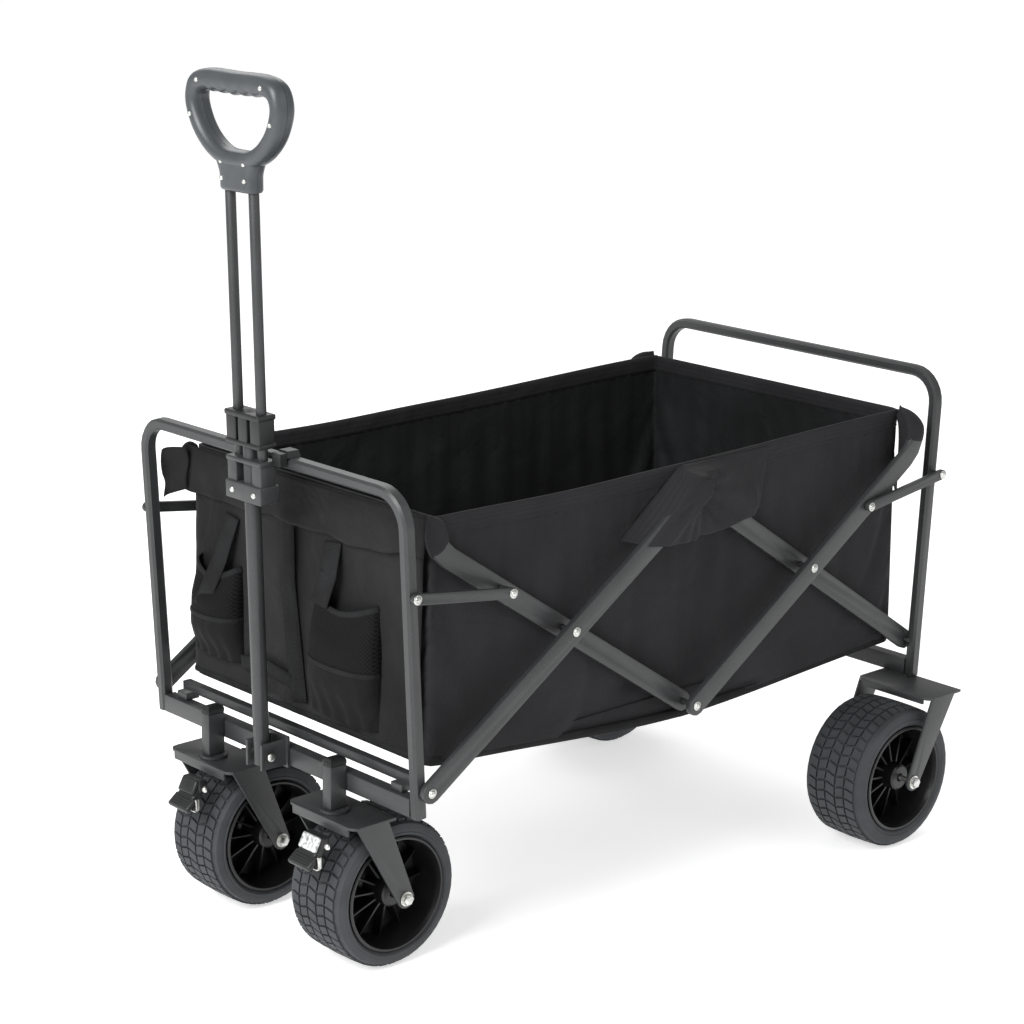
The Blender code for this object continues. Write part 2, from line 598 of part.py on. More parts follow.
def make_handle(mats, parent):
    """Hinged tube with its top collar, and the sliding rods with the lower collar and the grip."""
    bm = bmesh.new()
    foot, top = -0.0125, COLLAR_TOP + 0.041
    cylinder(bm, (0, 0, (foot + top) / 2), OUTER_TUBE_R, top - foot, "z", 20)
    tube = finish_on_handle("handle_tube", bm, mats["steel"], parent)
    bm = bmesh.new()
    cylinder(bm, (0, 0, 0), HOLE_R, 0.05)
    boolean(tube, handle_helper("handle_tube_hole", bm, parent), "DIFFERENCE")
    rods = [(-ROD_Y, ROD_R + GAP), (ROD_Y, ROD_R + GAP)]
    bores = [(0, OUTER_TUBE_R + GAP / 2), *rods]
    make_collar("upper_collar", COLLAR_TOP, COLLAR_TOP + 0.041, bores, mats, parent)
    make_collar("lower_collar", COLLAR_LOW, COLLAR_LOW + 0.052,
                [(0, OUTER_TUBE_R + GAP), *((y, ROD_R + GAP / 2) for y, _ in rods)], mats, parent)
    for side, word in ((-1, "left"), (1, "right")):
        low, high = COLLAR_LOW + 0.004, GRIP_START + 0.030
        bm = bmesh.new()
        cylinder(bm, (0, side * ROD_Y, (low + high) / 2), ROD_R, high - low, "z", 16)
        finish_on_handle(f"handle_rod_{word}", bm, mats["steel"], parent)
    make_grip(mats, parent)


def make_grip(mats, parent):
    """Two half shells: a neck over the rods and a D-shaped loop with a finger hole."""
    shoulder = GRIP_START + 0.030
    for where, x0, x1 in (("front", -GRIP_HALF_THICK, -GAP / 2), ("back", GAP / 2, GRIP_HALF_THICK)):
        half = grip_outline(GRIP_HALF_WIDTH, GRIP_TOP - shoulder, shoulder, 0.038)
        outline = [(GRIP_NECK, GRIP_START), *half]
        outline += [(-y, z) for y, z in reversed(outline[:-1])]
        bm = bmesh.new()
        extrude_outline(bm, outline, "x", x0, x1)
        shell = finish_on_handle(f"grip_{where}_shell", bm, mats["grip"], parent)
        hole = grip_outline(GRIP_HOLE_HALF_WIDTH, GRIP_HOLE_TOP - GRIP_HOLE_LOW, GRIP_HOLE_LOW, 0.012)
        hole += [(-y, z) for y, z in reversed(hole[:-1])]
        bm = bmesh.new()
        extrude_outline(bm, hole, "x", -0.03, 0.03)
        boolean(shell, handle_helper(f"grip_{where}_opening", bm, parent), "DIFFERENCE")
        for side in (-1, 1):
            bm = bmesh.new()
            cylinder(bm, (0, side * ROD_Y, GRIP_START + 0.010), ROD_R + GAP, 0.044, "z", 16)
            boolean(shell, handle_helper(f"grip_{where}_socket_{side}", bm, parent), "DIFFERENCE")


def main():
    clear_scene()
    mats = make_materials()
    datum = bpy.data.objects.new("wagon_datum", None)
    bpy.context.scene.collection.objects.link(datum)
    datum.location = (DATUM_X, 0, 0)
    steel = mats["steel"]
    p = scissor_points()
    brace_x = upright_x(TUBE_X / 2, -LEAN, BRACE_Z)
    core = FRAME_WIDTH / 2 - TUBE_Y / 2
    front_pins = [(*p["foot"], core, 0.2715), (brace_x, BRACE_Z, core, 0.2700)]
    rear_pins = [(REAR_X - PIVOT_X, PIVOT_Z, 0.2350, core), (REAR_X - brace_x, BRACE_Z, core, 0.2790)]
    make_frame("front_frame_tube", TUBE_X / 2, FRONT_FOOT_Z, FRONT_TOP_Z, -LEAN, front_pins, steel, datum)
    rear_core = REAR_X - TUBE_X / 2
    make_frame("rear_frame_tube", rear_core, REAR_FOOT_Z, REAR_TOP_Z, LEAN, rear_pins, steel, datum)
    make_beam("front_crossbeam", 0.0, FRONT_FOOT_Z, steel, datum)
    make_beam("rear_crossbeam", REAR_X - TUBE_X, REAR_BEAM_Z, steel, datum)
    make_front_rail(steel, datum)
    make_posts(mats, datum)
    make_handle_mounts(mats, datum)
    make_scissors(steel, datum)
    make_braces(steel, datum)
    make_mid_tube(steel, datum)
    make_casters(mats, datum)
    make_rear_wheels(mats, datum)
    make_tub(mats["fabric"], datum)
    make_floor(mats, datum)
    make_handle(mats, datum)


main()
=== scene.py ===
"""Folding camp wagon, the looks: fabric tub, treaded wheels, handle grip, hardware, materials and studio.

Lengths are in metres. at(x, y, z) counts x backwards from the front face of the front beam.
"""

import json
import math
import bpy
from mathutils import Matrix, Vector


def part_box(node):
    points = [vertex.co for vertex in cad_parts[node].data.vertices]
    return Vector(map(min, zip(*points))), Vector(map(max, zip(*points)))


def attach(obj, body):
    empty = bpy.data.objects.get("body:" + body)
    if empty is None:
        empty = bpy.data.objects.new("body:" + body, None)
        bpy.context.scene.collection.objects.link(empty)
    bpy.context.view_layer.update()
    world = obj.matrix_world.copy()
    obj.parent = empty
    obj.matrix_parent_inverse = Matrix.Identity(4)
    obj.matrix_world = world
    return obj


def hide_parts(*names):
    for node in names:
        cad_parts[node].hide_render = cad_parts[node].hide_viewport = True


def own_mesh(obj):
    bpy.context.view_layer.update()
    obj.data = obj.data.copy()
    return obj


bl_info = {
    "name": "Folding camp wagon",
    "version": (1, 0, 0),
    "blender": (4, 5, 0),
    "location": "3D View > Sidebar > Wagon",
    "description": "Builds the folding camp wagon's fabric, wheels, grip and hardware on its frame",
    "category": "Object",
}

import bmesh
import bpy
from mathutils import Matrix, Vector, noise

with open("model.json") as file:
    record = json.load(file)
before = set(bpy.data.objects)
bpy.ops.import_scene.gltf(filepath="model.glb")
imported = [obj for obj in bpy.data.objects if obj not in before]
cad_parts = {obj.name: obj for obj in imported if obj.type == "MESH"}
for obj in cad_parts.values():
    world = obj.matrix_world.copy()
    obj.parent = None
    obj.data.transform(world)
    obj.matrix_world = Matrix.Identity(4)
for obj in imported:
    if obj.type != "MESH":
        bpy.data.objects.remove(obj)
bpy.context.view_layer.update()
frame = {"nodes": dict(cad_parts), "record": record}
ORIGIN_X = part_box("front_crossbeam")[0][0]

# Lengths of the folding frame, and its pins at the front as (x, height).
SCISSOR_ANGLE = math.radians(33.5)
RUN, RISE = math.cos(SCISSOR_ANGLE), math.sin(SCISSOR_ANGLE)
LOWER_ARM, UPPER_ARM, BRACE_ARM = 0.2715, 0.2566, 0.1214
LENGTH = 0.911
FOOT = (0.0152, 0.261)
CROSS = (FOOT[0] + LOWER_ARM * RUN, FOOT[1] + LOWER_ARM * RISE)
MIDDLE = (CROSS[0] + UPPER_ARM * RUN, CROSS[1] - UPPER_ARM * RISE)
PEAK = (CROSS[0] + UPPER_ARM * RUN, CROSS[1] + UPPER_ARM * RISE)
BRACE_END = (CROSS[0] - BRACE_ARM * RUN, CROSS[1] + BRACE_ARM * RISE)
BRACE_PIN = (-0.0062, 0.4983)
BAR_FACE, FRONT_BRACE_FACE, REAR_BRACE_FACE = 0.2697, 0.2676, 0.277  # y of the faces under the rivets

TUB_FRONT, TUB_REAR, TUB_HALF, TUB_FLOOR = 0.044, 0.877, 0.2325, 0.2795
SIDE, END = TUB_REAR - TUB_FRONT, 2 * TUB_HALF
AROUND = 2 * (SIDE + END)
HANDLE_FOOT = (-0.028, 0.245)
HANDLE_LEAN = 0.026
GRIP_LOW = 0.69

ACROSS, FORWARDS, FRONT_TO_BACK = (0, 1, 0), (-1, 0, 0), (1, 0, 0)
SIDES = ((-1, "left"), (1, "right"))
MERGE, FINE_MERGE = 1e-5, 1e-6


# Placing and small maths ---------------------------------------------------------------------------

def at(x, y, z):
    return Vector((ORIGIN_X + x, y, z))


def on_handle(back, across, up):
    """A point in the handle's own directions: back to front, across and up along it."""
    rise = Vector((-HANDLE_LEAN, 0, 1)).normalized()
    fore = Vector((0, 1, 0)).cross(rise)
    return at(HANDLE_FOOT[0], 0, HANDLE_FOOT[1]) + fore * back + Vector((0, across, 0)) + rise * up


def handle_facing(sign):
    """The direction along the handle's own back axis."""
    return (on_handle(sign, 0, 0) - on_handle(0, 0, 0)).normalized()


def corners_of(node):
    return [Vector(corner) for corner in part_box(node)]


def node_centre(node):
    low, high = corners_of(node)
    return (low + high) / 2


def half_width(node):
    low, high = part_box(node)
    return (high[1] - low[1]) / 2


def length_of(points):
    return sum((b - a).length for a, b in zip(points, points[1:]))


def smooth(value, start, end):
    """0 before start, 1 after end, smooth between."""
    share = min(1.0, max(0.0, (value - start) / (end - start)))
    return share * share * (3 - 2 * share)


def along(points, share):
    """The point at that share of a polyline's length."""
    spans = [(b - a).length for a, b in zip(points, points[1:])]
    left = share * sum(spans)
    for (a, b), span in zip(zip(points, points[1:]), spans):
        if left <= span:
            return a.lerp(b, left / span)
        left -= span
    return points[-1].copy()


def mix(low, high, share):
    return low + (high - low) * share


def linear(code):
    """An sRGB hex colour as linear RGBA."""
    values = [int(code[i:i + 2], 16) / 255 for i in (1, 3, 5)]
    return tuple(v / 12.92 if v <= 0.04045 else ((v + 0.055) / 1.055) ** 2.4 for v in values) + (1.0,)


# Modelling steps ------------------------------------------------------------------------------------

def clear_selection():
    if bpy.context.mode != "OBJECT":
        bpy.ops.object.mode_set(mode="OBJECT")
    bpy.ops.object.select_all(action="DESELECT")


def take(obj):
    """Make obj the only selected and the active object."""
    clear_selection()
    obj.select_set(True)
    bpy.context.view_layer.objects.active = obj


def edit(obj, mode="FACE"):
    take(obj)
    bpy.ops.object.mode_set(mode="EDIT")
    bpy.ops.mesh.select_mode(type=mode)
    bpy.ops.mesh.select_all(action="SELECT")


def pick(obj, kind, test):
    """In edit mode, select only the faces, edges or verts that pass the test."""
    bpy.ops.mesh.select_mode(type={"faces": "FACE", "edges": "EDGE", "verts": "VERT"}[kind])
    bpy.ops.mesh.select_all(action="DESELECT")
    bm = bmesh.from_edit_mesh(obj.data)
    for part in getattr(bm, kind):
        if test(part):
            part.select_set(True)
    bm.select_flush_mode()
    bmesh.update_edit_mesh(obj.data)


def modify(obj, kind, **settings):
    """Add a modifier and apply it."""
    take(obj)
    modifier = obj.modifiers.new(kind.title(), kind)
    for key, value in settings.items():
        setattr(modifier, key, value)
    bpy.ops.object.modifier_apply(modifier=modifier.name)


def outward(obj):
    """Merge doubles and turn the faces of a closed shape outwards."""
    edit(obj)
    bpy.ops.mesh.remove_doubles(threshold=MERGE)
    bpy.ops.mesh.normals_make_consistent(inside=False)
    clear_selection()


def box(low, high, bevel=0.001, segments=2):
    """A bevelled block between two corners."""
    clear_selection()
    bpy.ops.mesh.primitive_cube_add(size=1.0, location=(Vector(low) + Vector(high)) / 2)
    made = bpy.context.object
    made.scale = Vector(high) - Vector(low)
    bpy.ops.object.transform_apply(location=True, rotation=True, scale=True)
    if bevel:
        edit(made)
        bpy.ops.mesh.bevel(offset=bevel, segments=segments, affect="EDGES")
        clear_selection()
    return made


def turn(obj, angle, axis, centre):
    """Turn a mesh about an axis through centre."""
    there, back = Matrix.Translation(centre), Matrix.Translation(-Vector(centre))
    obj.data.transform(there @ Matrix.Rotation(angle, 4, Vector(axis)) @ back)


def copy_of(obj):
    """A copy with its own mesh."""
    take(obj)
    bpy.ops.object.duplicate()
    return bpy.context.object


def join(objects):
    clear_selection()
    for obj in objects:
        obj.select_set(True)
    bpy.context.view_layer.objects.active = objects[0]
    if len(objects) > 1:
        bpy.ops.object.join()
    return bpy.context.object


def profile(points):
    """A line of edges: one vertex extruded from point to point."""
    clear_selection()
    bpy.ops.mesh.primitive_plane_add(size=0.001, location=points[0])
    made = bpy.context.object
    bpy.ops.object.transform_apply(location=True)
    edit(made, "VERT")
    bpy.ops.mesh.merge(type="CENTER")
    for before, after in zip(points, points[1:]):
        bpy.ops.mesh.extrude_region_move(TRANSFORM_OT_translate={"value": Vector(after) - Vector(before)})
    return made


def lathe(pairs, centre, axis, steps, closed=True):
    """Spin (radius, height) pairs about an axis through centre."""
    axis = Vector(axis)
    side = Vector((1, 0, 0)) if abs(axis.x) < 0.5 else Vector((0, 0, 1))
    side = (side - axis * side.dot(axis)).normalized()
    centre = Vector(centre)
    points = [centre + side * r + axis * h for r, h in pairs]
    made = profile(points + points[:1] if closed else points)
    bpy.ops.mesh.select_all(action="SELECT")
    bpy.ops.mesh.remove_doubles(threshold=FINE_MERGE)
    bpy.ops.mesh.select_all(action="SELECT")
    bpy.ops.mesh.spin(steps=steps, angle=math.tau, use_auto_merge=True, center=centre, axis=axis)
    outward(made)
    return made


def sheet_grid(across, up, place):
    """A grid of across by up squares, each vertex moved to place(u, v) with u and v from 0 to 1."""
    clear_selection()
    bpy.ops.mesh.primitive_grid_add(x_subdivisions=across, y_subdivisions=up, size=1.0)
    made = bpy.context.object
    for vert in made.data.vertices:
        vert.co = place(vert.co.x + 0.5, vert.co.y + 0.5)
    return made


def size_uv(obj, width, height):
    """Stretch the grid's own UV map to metres, so a weave keeps its size."""
    for loop in obj.data.uv_layers.active.data:
        loop.uv = (loop.uv.x * width, loop.uv.y * height)


def close_rims(obj, closing, merge=True):
    """Close a shell's open edges with the given operator and turn its faces outwards."""
    edit(obj, "EDGE")
    if merge:
        bpy.ops.mesh.remove_doubles(threshold=FINE_MERGE)
    bpy.ops.mesh.select_all(action="DESELECT")
    bpy.ops.mesh.select_non_manifold()
    closing()
    outward(obj)


def tube(points, radii, sides=10, flat=1.0, across=ACROSS):
    """A closed tube along points; flat squeezes it along across."""
    path = [Vector(p) for p in points]
    across = Vector(across)
    count = len(path) - 1

    def place(u, v):
        i = min(count, round(u * count))
        ahead = (path[min(count, i + 1)] - path[max(0, i - 1)]).normalized()
        side = (across - ahead * across.dot(ahead)).normalized()
        angle = v * math.tau
        return path[i] + (side * (math.cos(angle) * flat) + ahead.cross(side) * math.sin(angle)) * radii[i]
    made = sheet_grid(count, sides, place)
    size_uv(made, length_of(path), math.tau * max(radii))
    close_rims(made, bpy.ops.mesh.fill)
    return made


def piping(points, radius, flat):
    """A line of sewn binding, squeezed from front to back."""
    made = tube(points, [radius] * len(points), 8, flat, FRONT_TO_BACK)
    coat(made, "ribbed_binding")
    return made


def coat(obj, *names):
    """Give a mesh those materials, in that order."""
    for name in names:
        obj.data.materials.append(bpy.data.materials[name])


def dress(obj, name, body, material, angle=35.0, node=None):
    """Name a piece, give it its material, let it ride on its body and stand in for a node of the frame."""
    obj.name = obj.data.name = name
    obj.data.materials.clear()
    coat(obj, material)
    take(obj)
    bpy.ops.object.shade_smooth_by_angle(angle=math.radians(angle))
    clear_selection()
    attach(obj, body)
    if node:
        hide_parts(node)


# Materials ------------------------------------------------------------------------------------------

WEAVE_MM = 2.2  # four times the real pitch of 600D oxford polyester, so that it shows


def feed(tree, node, inputs):
    """Set or link a node's sockets."""
    for key, value in inputs.items():
        if isinstance(value, bpy.types.NodeSocket):
            tree.links.new(value, node.inputs[key])
        else:
            node.inputs[key].default_value = value


def add(tree, kind, inputs=None, **settings):
    """Add a node, set its properties and feed its sockets."""
    node = tree.nodes.new(kind)
    for key, value in settings.items():
        setattr(node, key, value)
    feed(tree, node, inputs or {})
    return node


def new_material(name, inputs):
    """A Principled material; returns its tree, its shader and the object and UV coordinates."""
    made = bpy.data.materials.new(name)
    made.use_nodes = True
    tree = made.node_tree
    tree.nodes.clear()
    shader = add(tree, "ShaderNodeBsdfPrincipled", inputs)
    add(tree, "ShaderNodeOutputMaterial", {"Surface": shader.outputs["BSDF"]})
    coords = add(tree, "ShaderNodeTexCoord").outputs
    return tree, shader, coords["Object"], coords["UV"]


def grain(tree, place, millimetres, detail, **more):
    """Noise with features of that size."""
    inputs = {"Vector": place, "Scale": 1000.0 / millimetres, "Detail": detail, **more}
    return add(tree, "ShaderNodeTexNoise", inputs).outputs["Fac"]


def threads(tree, place, millimetres, *directions):
    """Wave bands of that pitch, one set along each direction."""
    inputs = {"Vector": place, "Scale": math.tau / (20 * millimetres / 1000)}
    return [add(tree, "ShaderNodeTexWave", inputs, bands_direction=way).outputs["Fac"] for way in directions]


def remap(tree, value, limits):
    return add(tree, "ShaderNodeMapRange", {"Value": value, **limits}).outputs["Result"]


def colour_mix(tree, factor, first, second, kind="MIX"):
    """Mix two colours; a Mix node's colour sockets come after its float and vector ones."""
    inputs = {0: factor, 6: first, 7: second}
    return add(tree, "ShaderNodeMix", inputs, data_type="RGBA", blend_type=kind).outputs[2]


def two_tone(tree, place, millimetres, dark, light, low=0.35, high=0.65, detail=3.0):
    """Noise between two colours; returns the colour and the noise."""
    cloud = grain(tree, place, millimetres, detail)
    ramp = add(tree, "ShaderNodeValToRGB", {"Fac": cloud})
    for stop, position, colour in zip(ramp.color_ramp.elements, (low, high), (dark, light)):
        stop.position, stop.color = position, colour
    return ramp.outputs["Color"], cloud


def bump(tree, shader, height, strength, distance, under=None):
    inputs = {"Height": height, "Strength": strength, "Distance": distance}
    if under:
        inputs["Normal"] = under
    normal = add(tree, "ShaderNodeBump", inputs).outputs["Normal"]
    feed(tree, shader, {"Normal": normal})
    return normal


def shade(values, factor):
    return tuple(v * factor for v in values[:3]) + (1.0,)


def moulded(name, dark, light, roughness, grain_mm, strength):
    """Moulded plastic or rubber with a fine spark-eroded grain."""
    tree, shader, place, _ = new_material(name, {"Roughness": roughness})
    tone, _ = two_tone(tree, place, 30, dark, light)
    feed(tree, shader, {"Base Color": tone})
    bump(tree, shader, grain(tree, place, grain_mm, 2.0), strength, 0.0004)


def make_powder_coat(paint):
    # Polyester powder coat over steel: dark warm grey, satin, with a slight orange peel and pale specks.
    tree, shader, place, _ = new_material("powder_coated_steel", {"Roughness": 0.42})
    tone, _ = two_tone(tree, place, 60, shade(paint, 0.88), shade(paint, 1.12))
    specks = remap(tree, grain(tree, place, 1.6, 1.0),
                   {"From Min": 0.62, "From Max": 0.74, "To Min": 0.0, "To Max": 0.5})
    feed(tree, shader, {"Base Color": colour_mix(tree, specks, tone, shade(paint, 2.4))})
    bump(tree, shader, grain(tree, place, 1.4, 1.0), 0.1, 0.0003)


def make_zinc():
    # Bright zinc plate on steel fasteners: metallic, slightly mottled.
    tree, shader, place, _ = new_material("bright_zinc_plate", {"Metallic": 1.0})
    tone, cloud = two_tone(tree, place, 6, linear("#b9bab6"), linear("#dcdcd8"))
    rough = remap(tree, cloud, {"To Min": 0.22, "To Max": 0.42})
    feed(tree, shader, {"Base Color": tone, "Roughness": rough})


def make_pad_highlight():
    # Brake pad top: pale, half metallic, with darker mottling and a pitted bump; the paleness is a painted
    # highlight where light falls on the near pedal's top.
    tree, shader, place, _ = new_material("scuffed_cast_aluminium", {"Metallic": 0.6, "Roughness": 0.5})
    tone, cloud = two_tone(tree, place, 4, linear("#8f9191"), linear("#eceded"), 0.35, 0.55, 6.0)
    feed(tree, shader, {"Base Color": tone})
    bump(tree, shader, cloud, 0.4, 0.0005)


def woven(name, dark, light, weave, crease, sheen, roughness=0.85):
    """Oxford cloth on the piece's own UV map in metres, with soft creases over the weave."""
    # Yarn swallows most of the light, so the specular level is low.
    tree, shader, place, uv = new_material(name, {"Roughness": roughness, "Specular IOR Level": 0.15,
                                                  "Sheen Weight": sheen, "Sheen Roughness": 0.45})
    tone, _ = two_tone(tree, place, 120, dark, light, 0.3, 0.7, 4.0)
    warp, weft = threads(tree, uv, WEAVE_MM, "X", "Y")
    cross = add(tree, "ShaderNodeMath", {0: warp, 1: weft}, operation="MULTIPLY").outputs[0]
    level = remap(tree, cross, {"To Min": 0.8, "To Max": 1.12})
    grey = add(tree, "ShaderNodeCombineColor", {"Red": level, "Green": level, "Blue": level}).outputs["Color"]
    feed(tree, shader, {"Base Color": colour_mix(tree, 1.0, tone, grey, "MULTIPLY")})
    folds = grain(tree, place, 70, 4.0, Roughness=0.45, Distortion=0.6)
    bump(tree, shader, cross, weave, 0.0005, bump(tree, shader, folds, crease, 0.012))


def make_net():
    # Warp-knitted net: diamonds of black yarn on a solid sheet, the openings painted near-black as the shade
    # inside the pocket behind them. The cell is drawn at 3.8 mm, a little over the real one.
    tree, shader, _, uv = new_material("knitted_net", {"Roughness": 0.8, "Specular IOR Level": 0.15})
    turned = add(tree, "ShaderNodeMapping", {"Vector": uv, "Rotation": (0, 0, math.radians(45))})
    first, second = threads(tree, turned.outputs["Vector"], 3.8, "X", "Y")
    most = add(tree, "ShaderNodeMath", {0: first, 1: second}, operation="MAXIMUM").outputs[0]
    yarn = remap(tree, most, {"From Min": 0.55, "From Max": 0.75})
    # Between the yarn, #040405 is painted shade of the pocket's inside seen through the openings.
    feed(tree, shader, {"Base Color": colour_mix(tree, yarn, linear("#040405"), linear("#141415"))})
    bump(tree, shader, yarn, 0.8, 0.0012)


def make_webbing():
    # Polyester binding and webbing: ribs across the tape every 2.6 mm.
    tree, shader, place, uv = new_material("ribbed_binding", {"Roughness": 0.8, "Specular IOR Level": 0.2})
    tone, _ = two_tone(tree, place, 50, linear("#141415"), linear("#1d1e1f"))
    feed(tree, shader, {"Base Color": tone})
    bump(tree, shader, threads(tree, uv, 2.6, "X")[0], 0.5, 0.0006)


def make_floor_paint():
    # Matt white studio sweep, lit from behind, so shadows stay faint.
    tree, shader, place, _ = new_material("studio_floor", {"Roughness": 0.9, "Emission Color": (1, 1, 1, 1),
                                                           "Emission Strength": 0.55})
    tone, _ = two_tone(tree, place, 500, linear("#f4f4f4"), linear("#f8f8f8"))
    feed(tree, shader, {"Base Color": tone})


# Settings -------------------------------------------------------------------------------------------

def metres(name, description, default, low, high):
    return bpy.props.FloatProperty(name=name, description=description, default=default, min=low, max=high,
                                   unit="LENGTH")


def number(name, description, default, low, high):
    return bpy.props.IntProperty(name=name, description=description, default=default, min=low, max=high)


def tint(name, description, code):
    return bpy.props.FloatVectorProperty(name=name, description=description, default=linear(code)[:3],
                                         subtype="COLOR", size=3, min=0, max=1)


class WagonSizes(bpy.types.PropertyGroup):
    """Sizes of the pieces, in metres."""

    fabric_thickness: metres("Fabric", "Thickness of the tub's cloth", 0.0014, 0.0005, 0.004)
    fabric_slack: bpy.props.FloatProperty(
        name="Slack", description="Spare cloth in the walls, as a share", default=0.016, min=0.0, max=0.08,
        subtype="FACTOR")
    hem_depth: metres("Hem", "Depth of the tub's top hem", 0.022, 0.01, 0.04)
    tread_depth: metres("Tread", "Depth of the tyres' tread", 0.0028, 0.0005, 0.005)
    tread_steps: number("Tread blocks", "Blocks round a tyre in each row", 42, 24, 72)
    spokes: number("Spokes", "Ribs in each rim", 12, 5, 18)
    edge_radius: metres("Steel edge", "Rounding of the steel parts' edges", 0.0008, 0.0, 0.002)


class WagonColours(bpy.types.PropertyGroup):
    """Colours of the finishes."""

    frame_paint: tint("Frame", "Powder coat on the steel", "#2f3031")
    fabric_outside: tint("Fabric", "Outside of the tub", "#29292b")
    # The inside colour is darker than the outside: painted shade inside the tub.
    fabric_inside: tint("Inside shade", "Inside of the tub", "#1e1f20")
    tyre_rubber: tint("Tyres", "Tyre rubber", "#333538")
    grip_plastic: tint("Grip", "Moulded grip", "#3c4043")


def sizes():
    return bpy.context.scene.wagon_sizes


# Operators ------------------------------------------------------------------------------------------

class WAGON_OT_materials(bpy.types.Operator):
    """Make the finishes"""

    bl_idname = "wagon.materials"
    bl_label = "Materials"

    def execute(self, context):
        colours = context.scene.wagon_colours
        make_powder_coat(colours.frame_paint)
        make_zinc()
        make_pad_highlight()
        rubber, grip = colours.tyre_rubber, colours.grip_plastic
        # Vulcanised rubber, matt with a faint bloom.
        moulded("tyre_rubber", shade(rubber, 0.85), shade(rubber, 1.15), 0.72, 1.2, 0.2)
        # Polypropylene rim, smooth moulded, near black.
        moulded("rim_polypropylene", linear("#0d0d0e"), linear("#151516"), 0.36, 1.5, 0.06)
        # Glass-filled nylon collars, caps and brake levers, finely grained.
        moulded("black_nylon", linear("#111213"), linear("#1a1b1c"), 0.45, 1.2, 0.12)
        moulded("grey_nylon", linear("#2c2d2e"), linear("#38393a"), 0.42, 1.2, 0.12)
        # ABS grip shells, satin.
        moulded("grip_abs", shade(grip, 0.92), shade(grip, 1.08), 0.38, 1.0, 0.1)
        outside, inside = colours.fabric_outside, colours.fabric_inside
        woven("oxford_outside", shade(outside, 0.85), shade(outside, 1.2), 0.25, 0.6, 0.03)
        # The inner faces of the same cloth: darker as painted shade inside the tub, and a little shinier.
        woven("oxford_coated_back", shade(inside, 0.8), shade(inside, 1.3), 0.15, 0.45, 0.02, 0.6)
        # The front panel's copy of the cloth is darker than the sides: painted shade, offsetting the key
        # light that falls harder on the front.
        woven("oxford_front", linear("#191919"), linear("#29292a"), 0.25, 0.70, 0.03)
        woven("oxford_pocket", linear("#0f0f10"), linear("#1a1a1b"), 0.25, 0.55, 0.02)
        make_net()
        make_webbing()
        make_floor_paint()
        return {"FINISHED"}


def body_of_node(node):
    for body, members in frame["record"]["behaviour"]["bodies"].items():
        if node in members:
            return body
    raise RuntimeError(f"no body holds {node}")


def soften(node, width):
    """Replace a steel node by a copy of itself with rounded edges."""
    made = bpy.data.objects.new(f"{node}_rounded", frame["nodes"][node].data.copy())
    bpy.context.scene.collection.objects.link(made)
    edit(made, "VERT")
    bpy.ops.mesh.remove_doubles(threshold=MERGE)
    bpy.ops.mesh.select_all(action="SELECT")
    bpy.ops.mesh.dissolve_limited(angle_limit=math.radians(0.5))
    clear_selection()
    modify(made, "BEVEL", width=width, segments=2, limit_method="ANGLE", angle_limit=math.radians(50),
           use_clamp_overlap=True)
    modify(made, "WEIGHTED_NORMAL", keep_sharp=True)
    dress(made, f"{node}_rounded", body_of_node(node), "powder_coated_steel", node=node)


class WAGON_OT_steelwork(bpy.types.Operator):
    """Round the edges of the steel parts and paint them"""

    bl_idname = "wagon.steelwork"
    bl_label = "Steelwork"

    def execute(self, context):
        finishes = {"steel": "powder_coated_steel", "zinc": "bright_zinc_plate", "plastic": "black_nylon",
                    "grip": "grip_abs", "fabric": "oxford_outside", "tyre": "tyre_rubber"}
        for part in frame["record"]["subparts"]:
            solid = frame["nodes"][part["node"]]
            solid.data.materials.clear()
            coat(solid, finishes[part["material_slot"]])
        for _, word in SIDES:
            bearing = frame["nodes"][f"swivel_bearing_{word}"].data
            bearing.materials[0] = bpy.data.materials["powder_coated_steel"]
        for part in frame["record"]["subparts"]:
            if part["material_slot"] == "steel":
                soften(part["node"], sizes().edge_radius)
        return {"FINISHED"}


def rivet(place, facing, radius=0.0042, height=0.0027):
    """A domed rivet head that stands on place and faces along facing."""
    steps = [(0.0, height), (radius * 0.45, height * 0.93), (radius * 0.8, height * 0.6),
             (radius, height * 0.12), (radius, 0.0), (0.0, 0.0)]
    return lathe(steps, place, facing, 16, closed=False)


def washer(place, facing, radius=0.006, height=0.0008):
    steps = [(0.0, height), (radius - 0.0003, height), (radius, height - 0.0003), (radius, 0.0), (0.0, 0.0)]
    return lathe(steps, place, facing, 20, closed=False)


class WAGON_OT_rivets(bpy.types.Operator):
    """Put the rivets on the scissor and brace pins"""

    bl_idname = "wagon.rivets"
    bl_label = "Rivets"

    def execute(self, context):
        def rear(point):
            return (LENGTH - point[0], point[1])
        spots = {
            "front_frame": [(FOOT, BAR_FACE), (BRACE_PIN, FRONT_BRACE_FACE)],
            "front_foot_bars": [(CROSS, BAR_FACE)],
            "rear_corner_bars": [(rear(MIDDLE), BAR_FACE), (rear(CROSS), BAR_FACE)],
            "rear_frame": [(rear(BRACE_PIN), REAR_BRACE_FACE)],
            "front_braces": [(BRACE_END, FRONT_BRACE_FACE)],
            "rear_braces": [(rear(BRACE_END), REAR_BRACE_FACE)],
        }
        for body, heads in spots.items():
            made = []
            for (x, z), face in heads:
                for side in (-1, 1):
                    made.append(washer(at(x, side * face, z), (0, side, 0)))
                    made.append(rivet(at(x, side * (face + 0.0007), z), (0, side, 0)))
            dress(join(made), f"rivets_{body}", body, "bright_zinc_plate", 50)
        return {"FINISHED"}


TREAD_ROWS = (-0.04, -0.024, -0.0085, 0.0085, 0.024, 0.04)  # where the rows of blocks meet, across the tyre
TREAD_LAGS = (0.0, 0.3, 0.05, 0.45, 0.15, 0.45)  # how far each is turned, as a share of a block
GROOVE_HALF, BLOCK_EDGE = 0.0014, 0.0006


